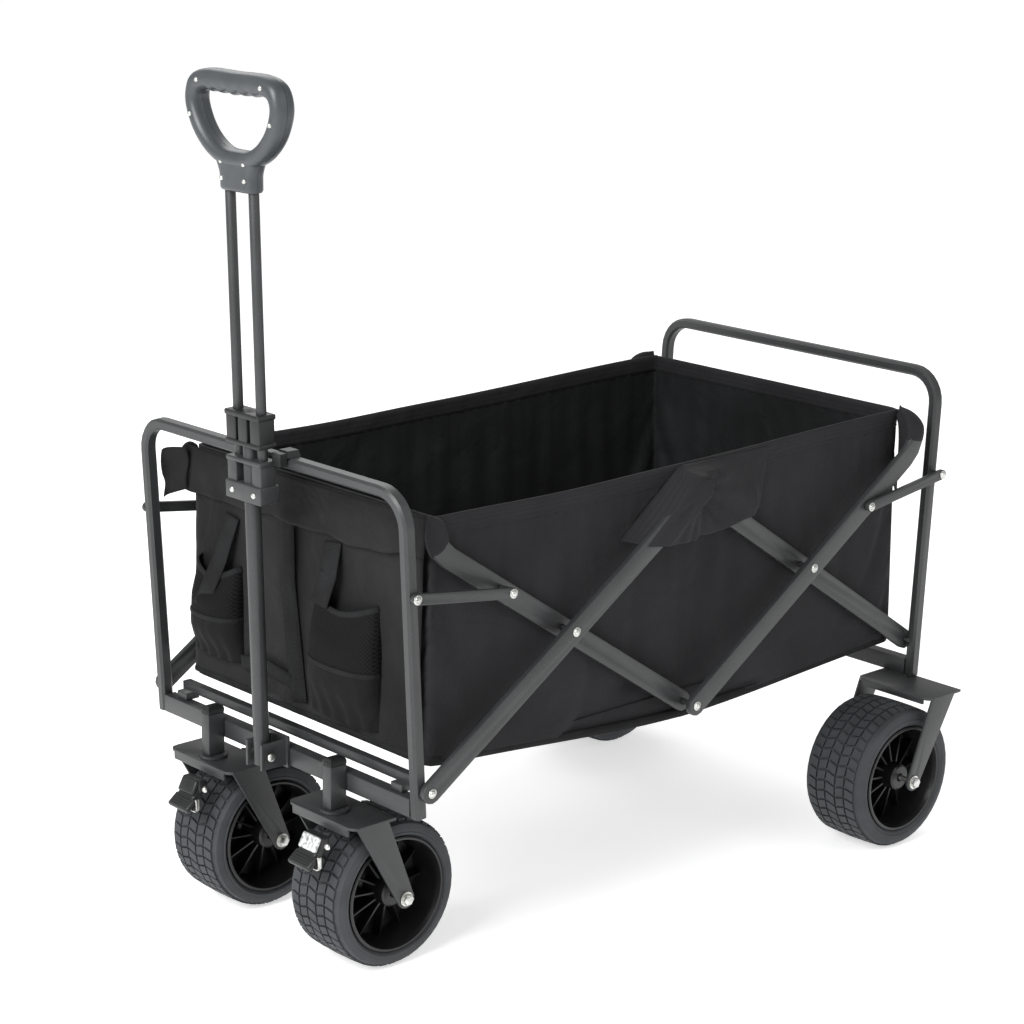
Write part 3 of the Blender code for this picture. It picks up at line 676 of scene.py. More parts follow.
def make_tyre(node):
    """Tyre with five staggered rows of blocks, a ridge on each sidewall and a bead that sits on the rim."""
    low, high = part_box(node)
    centre, half = node_centre(node), half_width(node)
    depth, steps = sizes().tread_depth, sizes().tread_steps
    base = (high[2] - low[2]) / 2 - depth
    side = [(base - 0.003, -0.0455), (base - 0.009, -half + 0.0008), (base - 0.0125, -half + 0.0008),
            (base - 0.0133, -half), (base - 0.0148, -half), (base - 0.0156, -half + 0.0008),
            (0.0765, -half + 0.0012), (0.0735, -half + 0.0035), (0.0716, -half + 0.0075)]
    crown = [(base - 0.0014 * (y / TREAD_ROWS[0]) ** 2, y) for y in TREAD_ROWS]
    pairs = [(r, y) for r, y in reversed(side)] + crown + [(r, -y) for r, y in side]
    tyre = lathe(pairs, centre, ACROSS, steps)
    for vert in tyre.data.vertices:
        offset = vert.co - centre
        if math.hypot(offset.x, offset.z) < base - 0.002:
            continue
        row = min(range(len(TREAD_ROWS)), key=lambda i: abs(TREAD_ROWS[i] - offset.y))
        vert.co = centre + Matrix.Rotation(TREAD_LAGS[row] * (math.tau / steps), 3, "Y") @ offset
    edit(tyre)

    def is_tread(face):
        offset = face.calc_center_median() - centre
        return abs(offset.y) < TREAD_ROWS[-1] and math.hypot(offset.x, offset.z) > base - 0.0035
    pick(tyre, "faces", is_tread)
    bpy.ops.mesh.inset(thickness=GROOVE_HALF, use_individual=True)
    bpy.ops.mesh.extrude_region_shrink_fatten(TRANSFORM_OT_shrink_fatten={"value": depth})
    bpy.ops.mesh.inset(thickness=BLOCK_EDGE, use_individual=True)
    clear_selection()
    return tyre


def make_rim(node):
    """Deep rim: lips, barrel, a web set back in the middle, a hub and thin ribs on both faces."""
    centre, half = node_centre(node), half_width(node)
    lip = [(0.0712, half - 0.004), (0.0728, half + 0.0022), (0.0712, half + 0.0034), (0.069, half + 0.003),
           (0.0676, half - 0.001), (0.0664, half - 0.006)]
    barrel = [(0.0655, 0.006), (0.063, 0.0022), (0.024, 0.0022), (0.0205, 0.005), (0.0175, half - 0.006),
              (0.015, half - 0.004), (0.0062, half - 0.004), (0.0052, half - 0.005)]
    near = lip + barrel
    rim = lathe(near + [(r, -y) for r, y in reversed(near)], centre, ACROSS, 48)
    ribs, count = [], sizes().spokes
    for side in (-1, 1):
        first = box(centre + Vector((0.017, 0.001, -0.0014)), centre + Vector((0.0655, 0.026, 0.0014)), 0)
        for vert in first.data.vertices:
            offset = vert.co - centre
            if offset.y > 0.01:
                vert.co.y -= 0.012 * smooth(offset.x, 0.017, 0.0655)
            vert.co.y = centre.y + side * (vert.co.y - centre.y)
        edit(first)
        bpy.ops.mesh.normals_make_consistent(inside=False)
        bpy.ops.mesh.bevel(offset=0.0006, segments=1, affect="EDGES")
        clear_selection()
        for index in range(count):
            rib = first if index == count - 1 else copy_of(first)
            turn(rib, math.tau * (index + 1) / count, ACROSS, centre)
            ribs.append(rib)
    return join([rim, *ribs])


class WAGON_OT_wheels(bpy.types.Operator):
    """Model the tyres and rims"""

    bl_idname = "wagon.wheels"
    bl_label = "Wheels"

    def execute(self, context):
        for where in ("front", "rear"):
            home = f"{where}_wheel_left_tyre"
            left = [make_tyre(home), make_rim(f"{where}_wheel_left_rim")]
            right = [copy_of(piece) for piece in left]
            shift = node_centre(f"{where}_wheel_right_tyre") - node_centre(home)
            for piece in right:
                piece.data.transform(Matrix.Translation(shift))
            for word, (tyre, rim) in (("left", left), ("right", right)):
                body = f"{where}_wheel_{word}"
                dress(tyre, f"{body}_tread_tyre", body, "tyre_rubber", 40, f"{body}_tyre")
                dress(rim, f"{body}_dished_rim", body, "rim_polypropylene", 35, f"{body}_rim")
        return {"FINISHED"}


def shank(centre, half, radius):
    return lathe([(0.0, -half), (radius, -half), (radius, half), (0.0, half)], centre, ACROSS, 16, False)


def make_axle_bolt(node):
    """Shank, hexagon nuts and washers outside the fork's legs."""
    centre, half = node_centre(node), half_width(node)
    face = half - 0.006
    parts = [shank(centre, half, 0.0038)]
    for side in (-1, 1):
        parts.append(washer(centre + Vector((0, side * face, 0)), (0, side, 0), 0.0092, 0.0012))
        parts.append(lathe([(0.0, 0.0056), (0.005, 0.0056), (0.0071, 0.0044), (0.0071, 0.0), (0.0, 0.0)],
                           centre + Vector((0, side * (face + 0.0011), 0)), (0, side, 0), 6, False))
    return join(parts)


class WAGON_OT_axles(bpy.types.Operator):
    """Model the axle bolts and nuts"""

    bl_idname = "wagon.axles"
    bl_label = "Axles"

    def execute(self, context):
        for _, word in SIDES:
            for kind, body in (("caster", f"caster_{word}"), ("rear", "rear_frame")):
                node = f"{kind}_axle_{word}"
                dress(make_axle_bolt(node), f"{node}_bolt", body, "bright_zinc_plate", 35, node)
        return {"FINISHED"}


def slanted_pad(y, centre, size, tilt, bevel, ribs=0):
    """A pad tilted by some degrees about Y, with raised ribs across its top if asked."""
    low = Vector((centre[0] - size[0] / 2, y - size[1] / 2, centre[1] - size[2] / 2))
    high = Vector((centre[0] + size[0] / 2, y + size[1] / 2, centre[1] + size[2] / 2))
    parts = [box(at(*low), at(*high), bevel, 3)]
    for i in range(ribs):
        x = mix(low.x + 0.003, high.x - 0.003, i / (ribs - 1))
        parts.append(box(at(x - 0.0008, low.y + 0.003, high.z - 0.0006),
                         at(x + 0.0008, high.y - 0.003, high.z + 0.0009), 0.0004, 1))
    made = join(parts)
    turn(made, math.radians(tilt), ACROSS, at(centre[0], y, centre[1]))
    return made


class WAGON_OT_brakes(bpy.types.Operator):
    """Model the foot brakes on the casters"""

    bl_idname = "wagon.brakes"
    bl_label = "Brakes"

    def execute(self, context):
        # The left pad's pale metal top is a painted highlight; the same pad on the right stays black nylon.
        for word, top_material in (("left", "scuffed_cast_aluminium"), ("right", "black_nylon")):
            node, body = f"brake_pedal_{word}", f"brake_{word}"
            y = node_centre(node).y
            lever = join([
                slanted_pad(y, (-0.05, 0.18), (0.014, 0.036, 0.016), 0, 0.003),
                slanted_pad(y, (-0.057, 0.169), (0.02, 0.034, 0.012), -55, 0.003),
                slanted_pad(y, (-0.069, 0.159), (0.02, 0.041, 0.008), -38, 0.003, 5),
            ])
            dress(lever, f"brake_lever_{word}", body, "black_nylon", 30, node)
            pad = slanted_pad(y - 0.002, (-0.061, 0.18), (0.019, 0.031, 0.006), -62, 0.0025)
            dress(pad, f"brake_top_pad_{word}", body, top_material, 30)
            clip = join([
                box(at(-0.066, y - 0.0245, 0.153), at(-0.061, y - 0.0212, 0.168), 0.0008),
                box(at(-0.069, y - 0.025, 0.1525), at(-0.064, y - 0.013, 0.1545), 0.0006),
                rivet(at(-0.0555, y - 0.029, 0.181), FORWARDS, 0.0042, 0.004),
            ])
            dress(clip, f"brake_spring_clip_{word}", body, "bright_zinc_plate", 40)
        return {"FINISHED"}


class WAGON_OT_post_caps(bpy.types.Operator):
    """Model the ribbed caps on the caster posts"""

    bl_idname = "wagon.post_caps"
    bl_label = "Post caps"

    def execute(self, context):
        for _, word in SIDES:
            node = f"post_cap_{word}"
            low, high = corners_of(node)
            cap = box(low, high, 0.0)
            edit(cap)
            top = high.z
            pick(cap, "edges", lambda e: all(v.co.z > top - 1e-4 for v in e.verts))
            bpy.ops.mesh.bevel(offset=0.0055, segments=5, affect="EDGES")
            clear_selection()
            ribs = []
            for share in (0.22, 0.4, 0.58, 0.76):
                y = mix(low.y, high.y, share)
                for x in (low.x, high.x):
                    ribs.append(box((x - 0.001, y - 0.001, low.z + 0.0004),
                                    (x + 0.001, y + 0.001, top - 0.004), 0.0004, 1))
            dress(join([cap, *ribs]), f"{node}_domed", "front_frame", "black_nylon", 30, node)
        return {"FINISHED"}


# The tub --------------------------------------------------------------------------------------------

TUB_CORNERS = (0, SIDE, SIDE + END, 2 * SIDE + END)  # distances round the tub, from its front left corner
HEM_FRONT, HEM_RISE, HEM_SAG = 0.5775, 0.0095, 0.003  # the top edge's height in front, its rise and its sag
CORNER_RADIUS, CORNER_REACH, END_LEAN = 0.01, 0.016, 0.004
OUT_AT_SIDES, OUT_AT_ENDS, IN_AT_FLOOR, IN_ABOVE = 0.0015, 0.01, 0.004, 0.018  # how far the cloth may move
BOARDS_TOP, CLEAR_OF_BOARDS = 0.29, 0.33
SIDE_FOOT, SIDE_LOW, SIDE_BACK = 0.279, 0.244, 0.262  # the sides' lower edge in front, middle and rear


def tub_plan(s):
    """Point and outward direction at distance s round the tub, along the left side first."""
    s = s % AROUND
    if s < SIDE:
        return (TUB_FRONT + s, -TUB_HALF), (0, -1)
    if s < SIDE + END:
        return (TUB_REAR, -TUB_HALF + s - SIDE), (1, 0)
    if s < 2 * SIDE + END:
        return (TUB_REAR - (s - SIDE - END), TUB_HALF), (0, 1)
    return (TUB_FRONT, TUB_HALF - (s - 2 * SIDE - END)), (-1, 0)


def tub_levels(x, on_side):
    """Height of the tub's lower and upper edge at x; the sides hang below the floor in their middle."""
    share = (x - TUB_FRONT) / SIDE
    sag = HEM_SAG * math.sin(math.pi * smooth(share, 0.0, 0.5))
    top = HEM_FRONT + HEM_RISE * smooth(share, 0.45, 1.0) - sag
    if not on_side:
        return TUB_FLOOR - 0.002, top
    if share < 0.5:
        return mix(SIDE_FOOT, SIDE_LOW, smooth(share, -0.1, 0.55)), top
    return mix(SIDE_LOW, SIDE_BACK, smooth(share, 0.5, 1.05)), top


def wall_point(s, height, push=0.0):
    """A point on the tub's wall: distance round, share of the height and push outwards."""
    (x, y), (nx, ny) = tub_plan(s)
    low, top = tub_levels(x, nx == 0)
    corner = min(abs(((s - c + AROUND / 2) % AROUND) - AROUND / 2) for c in TUB_CORNERS)
    soft = CORNER_RADIUS * (1 - smooth(corner, 0.0, CORNER_REACH))  # rounds the upright corners off
    x += math.copysign(soft * 0.3, TUB_FRONT + SIDE / 2 - x)
    y -= math.copysign(soft * 0.3, y)
    x += nx * (push + END_LEAN * (1 - 2 * height))
    y += ny * push
    return at(x, y, mix(low, top, height))


def drape(obj, held, slack, frames=22):
    """Let the cloth settle with some slack, held at the vertices that held() picks."""
    group = obj.vertex_groups.new(name="held")
    group.add([v.index for v in obj.data.vertices if held(v.co)], 1.0, "REPLACE")
    take(obj)
    cloth = obj.modifiers.new("Cloth", "CLOTH")
    settings = cloth.settings
    settings.quality = 6
    settings.mass = 0.25
    settings.tension_stiffness = settings.compression_stiffness = 20
    settings.shear_stiffness = 8
    settings.bending_stiffness = 1.2
    settings.air_damping = 2
    settings.vertex_group_mass = "held"
    settings.shrink_min = -slack
    cloth.collision_settings.use_collision = False
    cloth.point_cache.frame_start, cloth.point_cache.frame_end = 1, frames
    scene = bpy.context.scene
    for number in range(1, frames + 1):
        scene.frame_set(number)
    bpy.ops.object.modifier_apply(modifier=cloth.name)
    scene.frame_set(1)


def tub_walls():
    """The four walls as one cloth, settled between the held top hem, corners and floor seam."""
    made = sheet_grid(320, 40, lambda u, v: wall_point(u * AROUND, v))
    size_uv(made, AROUND, 0.32)
    edit(made, "VERT")
    bpy.ops.mesh.remove_doubles(threshold=MERGE)
    clear_selection()
    rest = [v.co.copy() for v in made.data.vertices]
    corners = [at(*c, 0) for c in ((TUB_FRONT, -TUB_HALF), (TUB_REAR, -TUB_HALF), (TUB_REAR, TUB_HALF),
                                   (TUB_FRONT, TUB_HALF))]

    def held(co):
        low, top = tub_levels(co.x - ORIGIN_X, abs(co.y) > TUB_HALF - 0.004)
        if co.z > top - sizes().hem_depth or co.z < low + 0.004:
            return True
        return any(math.hypot(co.x - c.x, co.y - c.y) < 0.007 for c in corners)
    drape(made, held, sizes().fabric_slack)
    for vert, start in zip(made.data.vertices, rest):
        # The scissor bars run just outside the sides, so the cloth gives way inwards more than outwards.
        for axis, centre in ((0, at((TUB_FRONT + TUB_REAR) / 2, 0, 0).x), (1, 0.0)):
            out = math.copysign(1.0, start[axis] - centre)
            moved = (vert.co[axis] - start[axis]) * out
            inwards = mix(IN_AT_FLOOR, IN_ABOVE, smooth(start.z, BOARDS_TOP, CLEAR_OF_BOARDS))
            outwards = OUT_AT_SIDES if axis == 1 else OUT_AT_ENDS
            vert.co[axis] = start[axis] + out * max(-inwards, min(outwards, moved))
    # The solidified shell gets the darker inside cloth: painted shade inside the tub.
    coat(made, "oxford_outside", "oxford_coated_back")
    modify(made, "SOLIDIFY", thickness=sizes().fabric_thickness, offset=-1, material_offset=1)
    return made


def finish_cloth(obj, name, squashed=True, body="front_frame"):
    """As dress(), for cloth that already has its materials; a squashed piece gets a mesh of its own."""
    obj.name = obj.data.name = name
    take(obj)
    bpy.ops.object.shade_smooth()
    clear_selection()
    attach(obj, body)
    if squashed:
        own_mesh(obj)
    return obj


def band_round(material, section, spans=320):
    """A closed band round the tub; section(s) gives (height share, push) pairs, closed on themselves."""
    count = len(section(0.0))

    def place(u, v):
        height, push = section(u * AROUND)[round(v * count) % count]
        return wall_point(u * AROUND, height, push)
    made = sheet_grid(spans, count, place)
    size_uv(made, AROUND, 0.05)
    outward(made)
    coat(made, material)
    return made


def patch(material, across, up, width, height, place, thickness=0.0014, inner=None):
    """A flat-cut sheet of cloth shaped by place(u, v), given its thickness."""
    made = sheet_grid(across, up, place)
    size_uv(made, width, height)
    coat(made, material, inner or material)
    modify(made, "SOLIDIFY", thickness=thickness, offset=0.0, material_offset=1)
    return made


class WAGON_OT_tub(bpy.types.Operator):
    """Sew the tub: walls, bottom, hem and binding"""

    bl_idname = "wagon.tub"
    bl_label = "Tub"

    def execute(self, context):
        walls = tub_walls()
        finish_cloth(walls, "tub_walls")
        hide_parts("tub_front_wall", "tub_rear_wall", "tub_side_left", "tub_side_right")

        bottom = patch("oxford_outside", 40, 24, SIDE, END,
                       lambda u, v: at(mix(TUB_FRONT + 0.001, TUB_REAR - 0.001, u), mix(-0.231, 0.231, v),
                                       TUB_FLOOR - 0.0003 + 0.0002 * math.sin(40 * u) * math.sin(30 * v)),
                       0.0006, "oxford_coated_back")
        finish_cloth(bottom, "tub_bottom")

        def hem_section(s):
            (x, _), (nx, _) = tub_plan(s)
            low, top = tub_levels(x, nx == 0)
            wall = top - low
            depth = sizes().hem_depth / wall
            lift = 0.0014 / wall
            return [(1 - depth, 0.0006), (1 - depth * 0.92, 0.0013), (1 - depth * 0.8, 0.0006),
                    (1 - depth * 0.7, 0.0014), (1 - depth * 0.2, 0.0018), (1 + lift * 0.6, 0.0014),
                    (1 + lift, 0.0), (1 + lift * 0.6, -0.0026), (1 - depth * 0.2, -0.003),
                    (1 - depth * 0.8, -0.0022), (1 - depth, -0.0018)]
        hem = band_round("oxford_outside", hem_section)
        finish_cloth(hem, "tub_hem")

        def binding_section(s):
            (x, _), (nx, _) = tub_plan(s)
            low, top = tub_levels(x, nx == 0)
            unit = 0.001 / (top - low)
            return [(10 * unit, 0.0008), (4 * unit, 0.0018), (0.0, 0.0018), (-1.5 * unit, -0.0006),
                    (0.0, -0.0028), (10 * unit, -0.0022)]
        binding = band_round("ribbed_binding", binding_section)
        finish_cloth(binding, "tub_binding")
        return {"FINISHED"}


FLAP_FOOT, FLAP_HEM = (0.345, 0.596), (0.446, 0.61)  # x of the flap's lower and upper corners
FLAP_LOW, FLAP_TOP, FLAP_DROOP = 0.498, 0.577, 0.012


class WAGON_OT_flaps(bpy.types.Operator):
    """Sew the flaps over the bars' top ends and the sleeves at the tub's corners"""

    bl_idname = "wagon.flaps"
    bl_label = "Flaps and sleeves"

    def execute(self, context):
        for side, word in SIDES:
            def place(u, v, side=side):
                low = Vector((mix(*FLAP_FOOT, u), FLAP_LOW - FLAP_DROOP * math.sin(math.pi * u)))
                spot = low.lerp(Vector((mix(*FLAP_HEM, u), FLAP_TOP)), v)
                return at(spot.x, side * (TUB_HALF + 0.0022 + self.cover(spot, u, v)), spot.y)
            flap = patch("oxford_outside", 90, 36, 0.21, 0.095, place)
            finish_cloth(flap, f"bar_flap_{word}")
            self.sleeves(side, word)
        return {"FINISHED"}

    def cover(self, spot, u, v):
        """How far the flap stands off the wall at (x, z), over the outer and the inner bar."""
        gaps = []
        for foot in (CROSS, (LENGTH - CROSS[0], CROSS[1])):
            start, peak = Vector(foot), Vector(PEAK)
            arm = peak - start
            share = min(1.0, max(0.0, (spot - start).dot(arm) / arm.length_squared))
            gaps.append((spot - start - arm * share).length)
        # Stretched straight from the outer bar's edge to the inner bar's.
        half_bar, over_outer, over_inner = 0.0145, 0.0385, 0.0145
        outer, inner = max(0.0, gaps[0] - half_bar), max(0.0, gaps[1] - half_bar) + 0.002
        height = (over_outer * inner + over_inner * outer) / (inner + outer)
        height *= 1 - smooth(min(gaps), 0.02, 0.075) * smooth(spot.x - PEAK[0], -0.01, 0.03)
        angle = math.atan2(spot.y - PEAK[1], spot.x - PEAK[0])
        crease = 0.0013 * math.sin(15 * angle) * smooth((spot - Vector(PEAK)).length, 0.012, 0.05)
        return (height + crease) * smooth(u, 0.0, 0.07) * smooth(1 - u, 0.0, 0.12) * smooth(1 - v, 0.0, 0.13)

    def sleeves(self, side, word):
        """The sewn sleeve over a corner bar's end, which carries the tub's corner."""
        rear = [(0.8655, 0.2655, 0.551), (0.8672, 0.2655, 0.5575), (0.8678, 0.2655, 0.564),
                (0.868, 0.2645, 0.5705), (0.869, 0.261, 0.5765), (0.8702, 0.255, 0.5815),
                (0.8712, 0.248, 0.585), (0.872, 0.24, 0.587), (0.8722, 0.233, 0.587)]
        front = [(0.051, 0.2405, 0.54), (0.0465, 0.2405, 0.5475), (0.0445, 0.2405, 0.554),
                 (0.0435, 0.2405, 0.56), (0.043, 0.2403, 0.5665), (0.043, 0.2395, 0.572),
                 (0.0432, 0.238, 0.5755), (0.0436, 0.2355, 0.5775), (0.044, 0.2325, 0.578)]
        radii = (0.016, 0.0165, 0.0168, 0.0165, 0.015, 0.0135, 0.012, 0.0105, 0.008)
        for end, line in (("rear", rear), ("front", front)):
            points = [at(x, side * y, z) for x, y, z in line]
            sleeve = tube(points, radii, 16, 0.46)
            modify(sleeve, "SUBSURF", levels=1, render_levels=1)
            coat(sleeve, "oxford_outside")
            finish_cloth(sleeve, f"{end}_sleeve_{word}", False, f"{end}_corner_bars")
        # The gusset between the tub's rear corner and the sleeve.
        edge = [Vector((0.8735, side * 0.2335, z)) for z in (0.47, 0.52, 0.56, 0.588)]
        line = ((0.85, 0.262, 0.518), *rear[1:7:2], rear[8])
        hook = [Vector((x, side * (y - 0.001), z)) for x, y, z in line]

        def gusset(u, v):
            spot = along(edge, v).lerp(along(hook, v), u)
            slack = math.sin(math.pi * u)
            return at(spot.x - 0.006 * slack, spot.y - side * 0.004 * slack, spot.z)
        web = patch("oxford_outside", 12, 24, 0.045, 0.11, gusset)
        finish_cloth(web, f"rear_gusset_{word}")


def front_point(y, z, push=0.0):
    """A point on the tub's front wall, pushed forwards."""
    return at(TUB_FRONT - 0.004 + 0.008 * (z - TUB_FLOOR) / 0.3 - push, y, z)


def cup_pocket(word, centre, half, low, high):
    """A cup pocket that bulges forwards: cloth below, net above, with an elastic top edge."""
    def bulge(u, v):
        round_out = math.sqrt(max(0.0, 1 - (2 * u - 1) ** 2))
        full = (0.45 + 0.55 * smooth(v, 0.0, 0.35)) * (1 - 0.35 * smooth(v, 0.6, 1.0))
        return 0.003 + 0.034 * round_out ** 0.7 * full

    def place(u, v):
        y = centre + half * (1 - 2 * u) * (1 - 0.12 * v)
        sag = 0.016 * math.sin(math.pi * u) * smooth(v, 0.5, 1.0)
        ripple = 0.0016 * math.sin(u * 31) * (1 - smooth(v, 0.0, 0.5))
        return front_point(y, mix(low, high, v) - sag, bulge(u, v) + ripple)
    split = 0.46
    cloth = patch("oxford_pocket", 30, 16, 2.4 * half, (high - low) * split,
                  lambda u, v: place(u, v * split))
    net = patch("knitted_net", 30, 16, 2.4 * half, (high - low) * (1 - split),
                lambda u, v: place(u, mix(split, 1.0, v)), 0.001)
    edge = piping([place(i / 24, 1.0) for i in range(25)], 0.0042, 0.45)
    seam = piping([place(i / 24, split) + Vector((-0.0008, 0, 0)) for i in range(25)], 0.0035, 0.4)
    for piece, part in ((cloth, "cloth"), (net, "net"), (edge, "elastic"), (seam, "seam")):
        finish_cloth(piece, f"pocket_{part}_{word}", squashed=False)


def strap(points, width):
    """A flat tape along points, facing forwards."""
    def place(u, v):
        ahead = (along(points, min(1.0, u + 0.02)) - along(points, max(0.0, u - 0.02))).normalized()
        return along(points, u) + Vector(FORWARDS).cross(ahead).normalized() * (v - 0.5) * width
    return patch("ribbed_binding", 24, 3, length_of(points), width, place, 0.0016)


PANEL_HALF, PANEL_LEVELS = 0.222, (0.286, 0.566)
LAP_ENDS, LAP_FOOT, LAP_TOP = (0.236, -0.232), 0.522, 0.579


class WAGON_OT_front_panel(bpy.types.Operator):
    """Sew the front panel's pockets, straps and bindings"""

    bl_idname = "wagon.front_panel"
    bl_label = "Front panel"

    def execute(self, context):
        def fall(u, v):
            wave = 0.0035 * math.sin(9 * u + 2.5 * v) * math.sin(math.pi * u)
            fold = wave + 0.004 * noise.noise((6 * u, 4 * v, 0.3))
            return front_point(mix(PANEL_HALF, -PANEL_HALF, u), mix(*PANEL_LEVELS, v), 0.006 + abs(fold))
        panel = patch("oxford_front", 60, 36, 0.444, 0.28, fall)
        finish_cloth(panel, "front_panel", squashed=False)
        self.valance()
        cup_pocket("left", -0.09, 0.068, 0.3, 0.452)
        cup_pocket("right", 0.166, 0.05, 0.318, 0.44)
        tapes = {
            "pocket_tape_left": (0.03, (-0.062, 0.515, 0.01), (-0.066, 0.48, 0.02), (-0.06, 0.44, 0.03)),
            "pocket_tape_right": (0.026, (0.14, 0.505, 0.01), (0.15, 0.45, 0.022), (0.172, 0.385, 0.036)),
            "panel_tape": (0.03, (0.03, 0.56, 0.012), (0.022, 0.45, 0.014), (-0.004, 0.3, 0.013)),
            "panel_low_tape": (0.018, (0.115, 0.322, 0.013), (0.06, 0.33, 0.015), (0.012, 0.322, 0.013)),
        }
        for name, (width, *spots) in tapes.items():
            points = [front_point(*spot) for spot in spots]
            tape = strap(points, width)
            finish_cloth(tape, name, squashed=False)
        lower_edge = piping([fall(i / 30, 0.0) for i in range(31)], 0.0045, 0.5)
        finish_cloth(lower_edge, "front_panel_binding", squashed=False)
        return {"FINISHED"}

    def valance(self):
        """The lap that hangs over the panel's top and ends in a drooping ear at the far corner."""
        def lap(u, v):
            foot = LAP_FOOT + 0.006 * noise.noise((9 * u, 0.0, 2.0)) + 0.01 * smooth(u, 0.75, 1.0)
            fold = 0.003 * noise.noise((14 * u, 2.5 * v, 5.0)) * (1 - smooth(v, 0.5, 1.0))
            return front_point(mix(*LAP_ENDS, u), mix(foot, LAP_TOP, v), mix(0.015, 0.0105, v) + fold)
        piece = patch("oxford_front", 70, 12, 0.468, 0.056, lap)
        finish_cloth(piece, "front_valance", squashed=False)

        def ear(u, v):
            y = 0.224 + 0.036 * math.sin(u * math.pi / 2)
            top = LAP_TOP - 0.026 * u ** 3
            foot = 0.525 - 0.022 * u + 0.006 * u ** 4
            curl = 0.01 * math.sin(math.pi * u) + 0.003 * math.sin(7 * v + 3 * u)
            return at(0.028 - 0.01 * u - curl * (0.6 + 0.4 * v), y, mix(foot, top, v))
        piece = patch("oxford_front", 18, 16, 0.045, 0.06, ear)
        finish_cloth(piece, "front_corner_ear", squashed=False)


class WAGON_OT_floor(bpy.types.Operator):
    """Make the cloth-covered floor boards"""

    bl_idname = "wagon.floor"
    bl_label = "Floor boards"

    def execute(self, context):
        for where in ("front", "rear"):
            node = f"floor_panel_{where}"
            low, high = corners_of(node)
            board = box(low + Vector((0, 0, 0.0006)), high, 0.0)
            edit(board)
            bpy.ops.mesh.bevel(offset=0.0018, segments=3, affect="EDGES")
            pick(board, "faces", lambda f: abs(f.normal.z) > 0.9)
            bpy.ops.mesh.subdivide(number_cuts=20)
            clear_selection()
            for vert in board.data.vertices:
                if vert.co.z > high.z - 0.0005:
                    ease = min(vert.co.x - low.x, high.x - vert.co.x, vert.co.y - low.y, high.y - vert.co.y)
                    vert.co.z += 0.0012 * smooth(ease, 0.004, 0.05) * (0.6 + 0.4 * noise.noise(vert.co * 18))
            edit(board)
            bpy.ops.uv.cube_project(cube_size=1.0)
            clear_selection()
            # The boards get the darker inside cloth: painted shade inside the tub.
            dress(board, f"floor_board_{where}", f"floor_{where}", "oxford_coated_back", 40, node)
        return {"FINISHED"}


# The handle -----------------------------------------------------------------------------------------

def grip_line(share):
    """Centre line of the D-shaped loop, (across, up) in the handle's own directions, from share 0 to 1."""
    corners = [(0.0, 0.7265), (0.026, 0.7285), (0.049, 0.7395), (0.0675, 0.7575), (0.0785, 0.779),
               (0.08, 0.795), (0.0725, 0.8085), (0.054, 0.814), (0.026, 0.8145), (0.0, 0.814)]
    half = [Vector((a, b, 0)) for a, b in corners]
    loop = half + [Vector((-p.x, p.y, 0)) for p in reversed(half[1:-1])]
    count = len(loop)
    position = share * count
    index = int(position) % count
    t = position - int(position)
    p0, p1, p2, p3 = (loop[(index + k) % count] for k in (-1, 0, 1, 2))
    return 0.5 * ((2 * p1) + (p2 - p0) * t + (2 * p0 - 5 * p1 + 4 * p2 - p3) * t * t
                  + (3 * p1 - p0 - 3 * p2 + p3) * t ** 3)


def grip_shell(sign):
    """Half of the grip, -1 in front or 1 behind: a swept loop cut at its middle, and a neck."""
    def place(u, v):
        here = grip_line(u)
        ahead = (grip_line(u + 0.004) - grip_line(u - 0.004)).normalized()
        inner = Vector((-ahead.y, ahead.x, 0))
        top = smooth(here.y, 0.795, 0.81)
        width = mix(0.0104, 0.012, top)
        angle = math.pi * (v - 0.5)
        in_plane = math.sin(angle) * width
        if top > 0.5 and in_plane > 0:
            finger = 1 + math.cos(here.x * math.tau / 0.0215)
            in_plane += 0.0016 * finger * (1 - smooth(abs(here.x), 0.04, 0.052))
        out = abs(math.cos(angle)) ** 0.75 * 0.015
        spot = here + inner * in_plane
        return on_handle(sign * (out + 0.0002), spot.x, spot.y)
    loop = sheet_grid(96, 12, place)
    close_rims(loop, bpy.ops.mesh.bridge_edge_loops)
    return join([loop, grip_neck(sign)])


def grip_neck(sign):
    """The neck's half: widens smoothly from the rods up into the loop."""
    def place(u, v):
        up = mix(GRIP_LOW, 0.73, v)
        half = mix(0.0305, 0.04, smooth(up, 0.706, 0.734))
        across = mix(-half, half, u)
        edge = 1 - abs(2 * u - 1) ** 6
        low_edge = smooth(v, 0.0, 0.06)
        depth = mix(0.0126, 0.0136, v) * (0.35 + 0.65 * edge ** 0.5) * (0.8 + 0.2 * low_edge)
        return on_handle(sign * (depth + 0.0002), across, up)
    neck = sheet_grid(24, 16, place)
    edit(neck, "EDGE")
    bpy.ops.mesh.select_all(action="DESELECT")
    bpy.ops.mesh.select_non_manifold()
    facing = handle_facing(sign)
    bpy.ops.mesh.extrude_region_move(TRANSFORM_OT_translate={"value": facing * -0.0125})
    clear_selection()
    for vert in neck.data.vertices:
        depth = (vert.co - on_handle(0, 0, 0)).dot(facing)
        if depth < 0.0025:
            vert.co += facing * (0.0002 - depth)
    close_rims(neck, bpy.ops.mesh.fill, merge=False)
    return neck


def screws(spots, radius, height):
    """Screw heads that face forwards on the handle, at (back, across, up)."""
    return join([rivet(on_handle(*spot), handle_facing(-1), radius, height) for spot in spots])


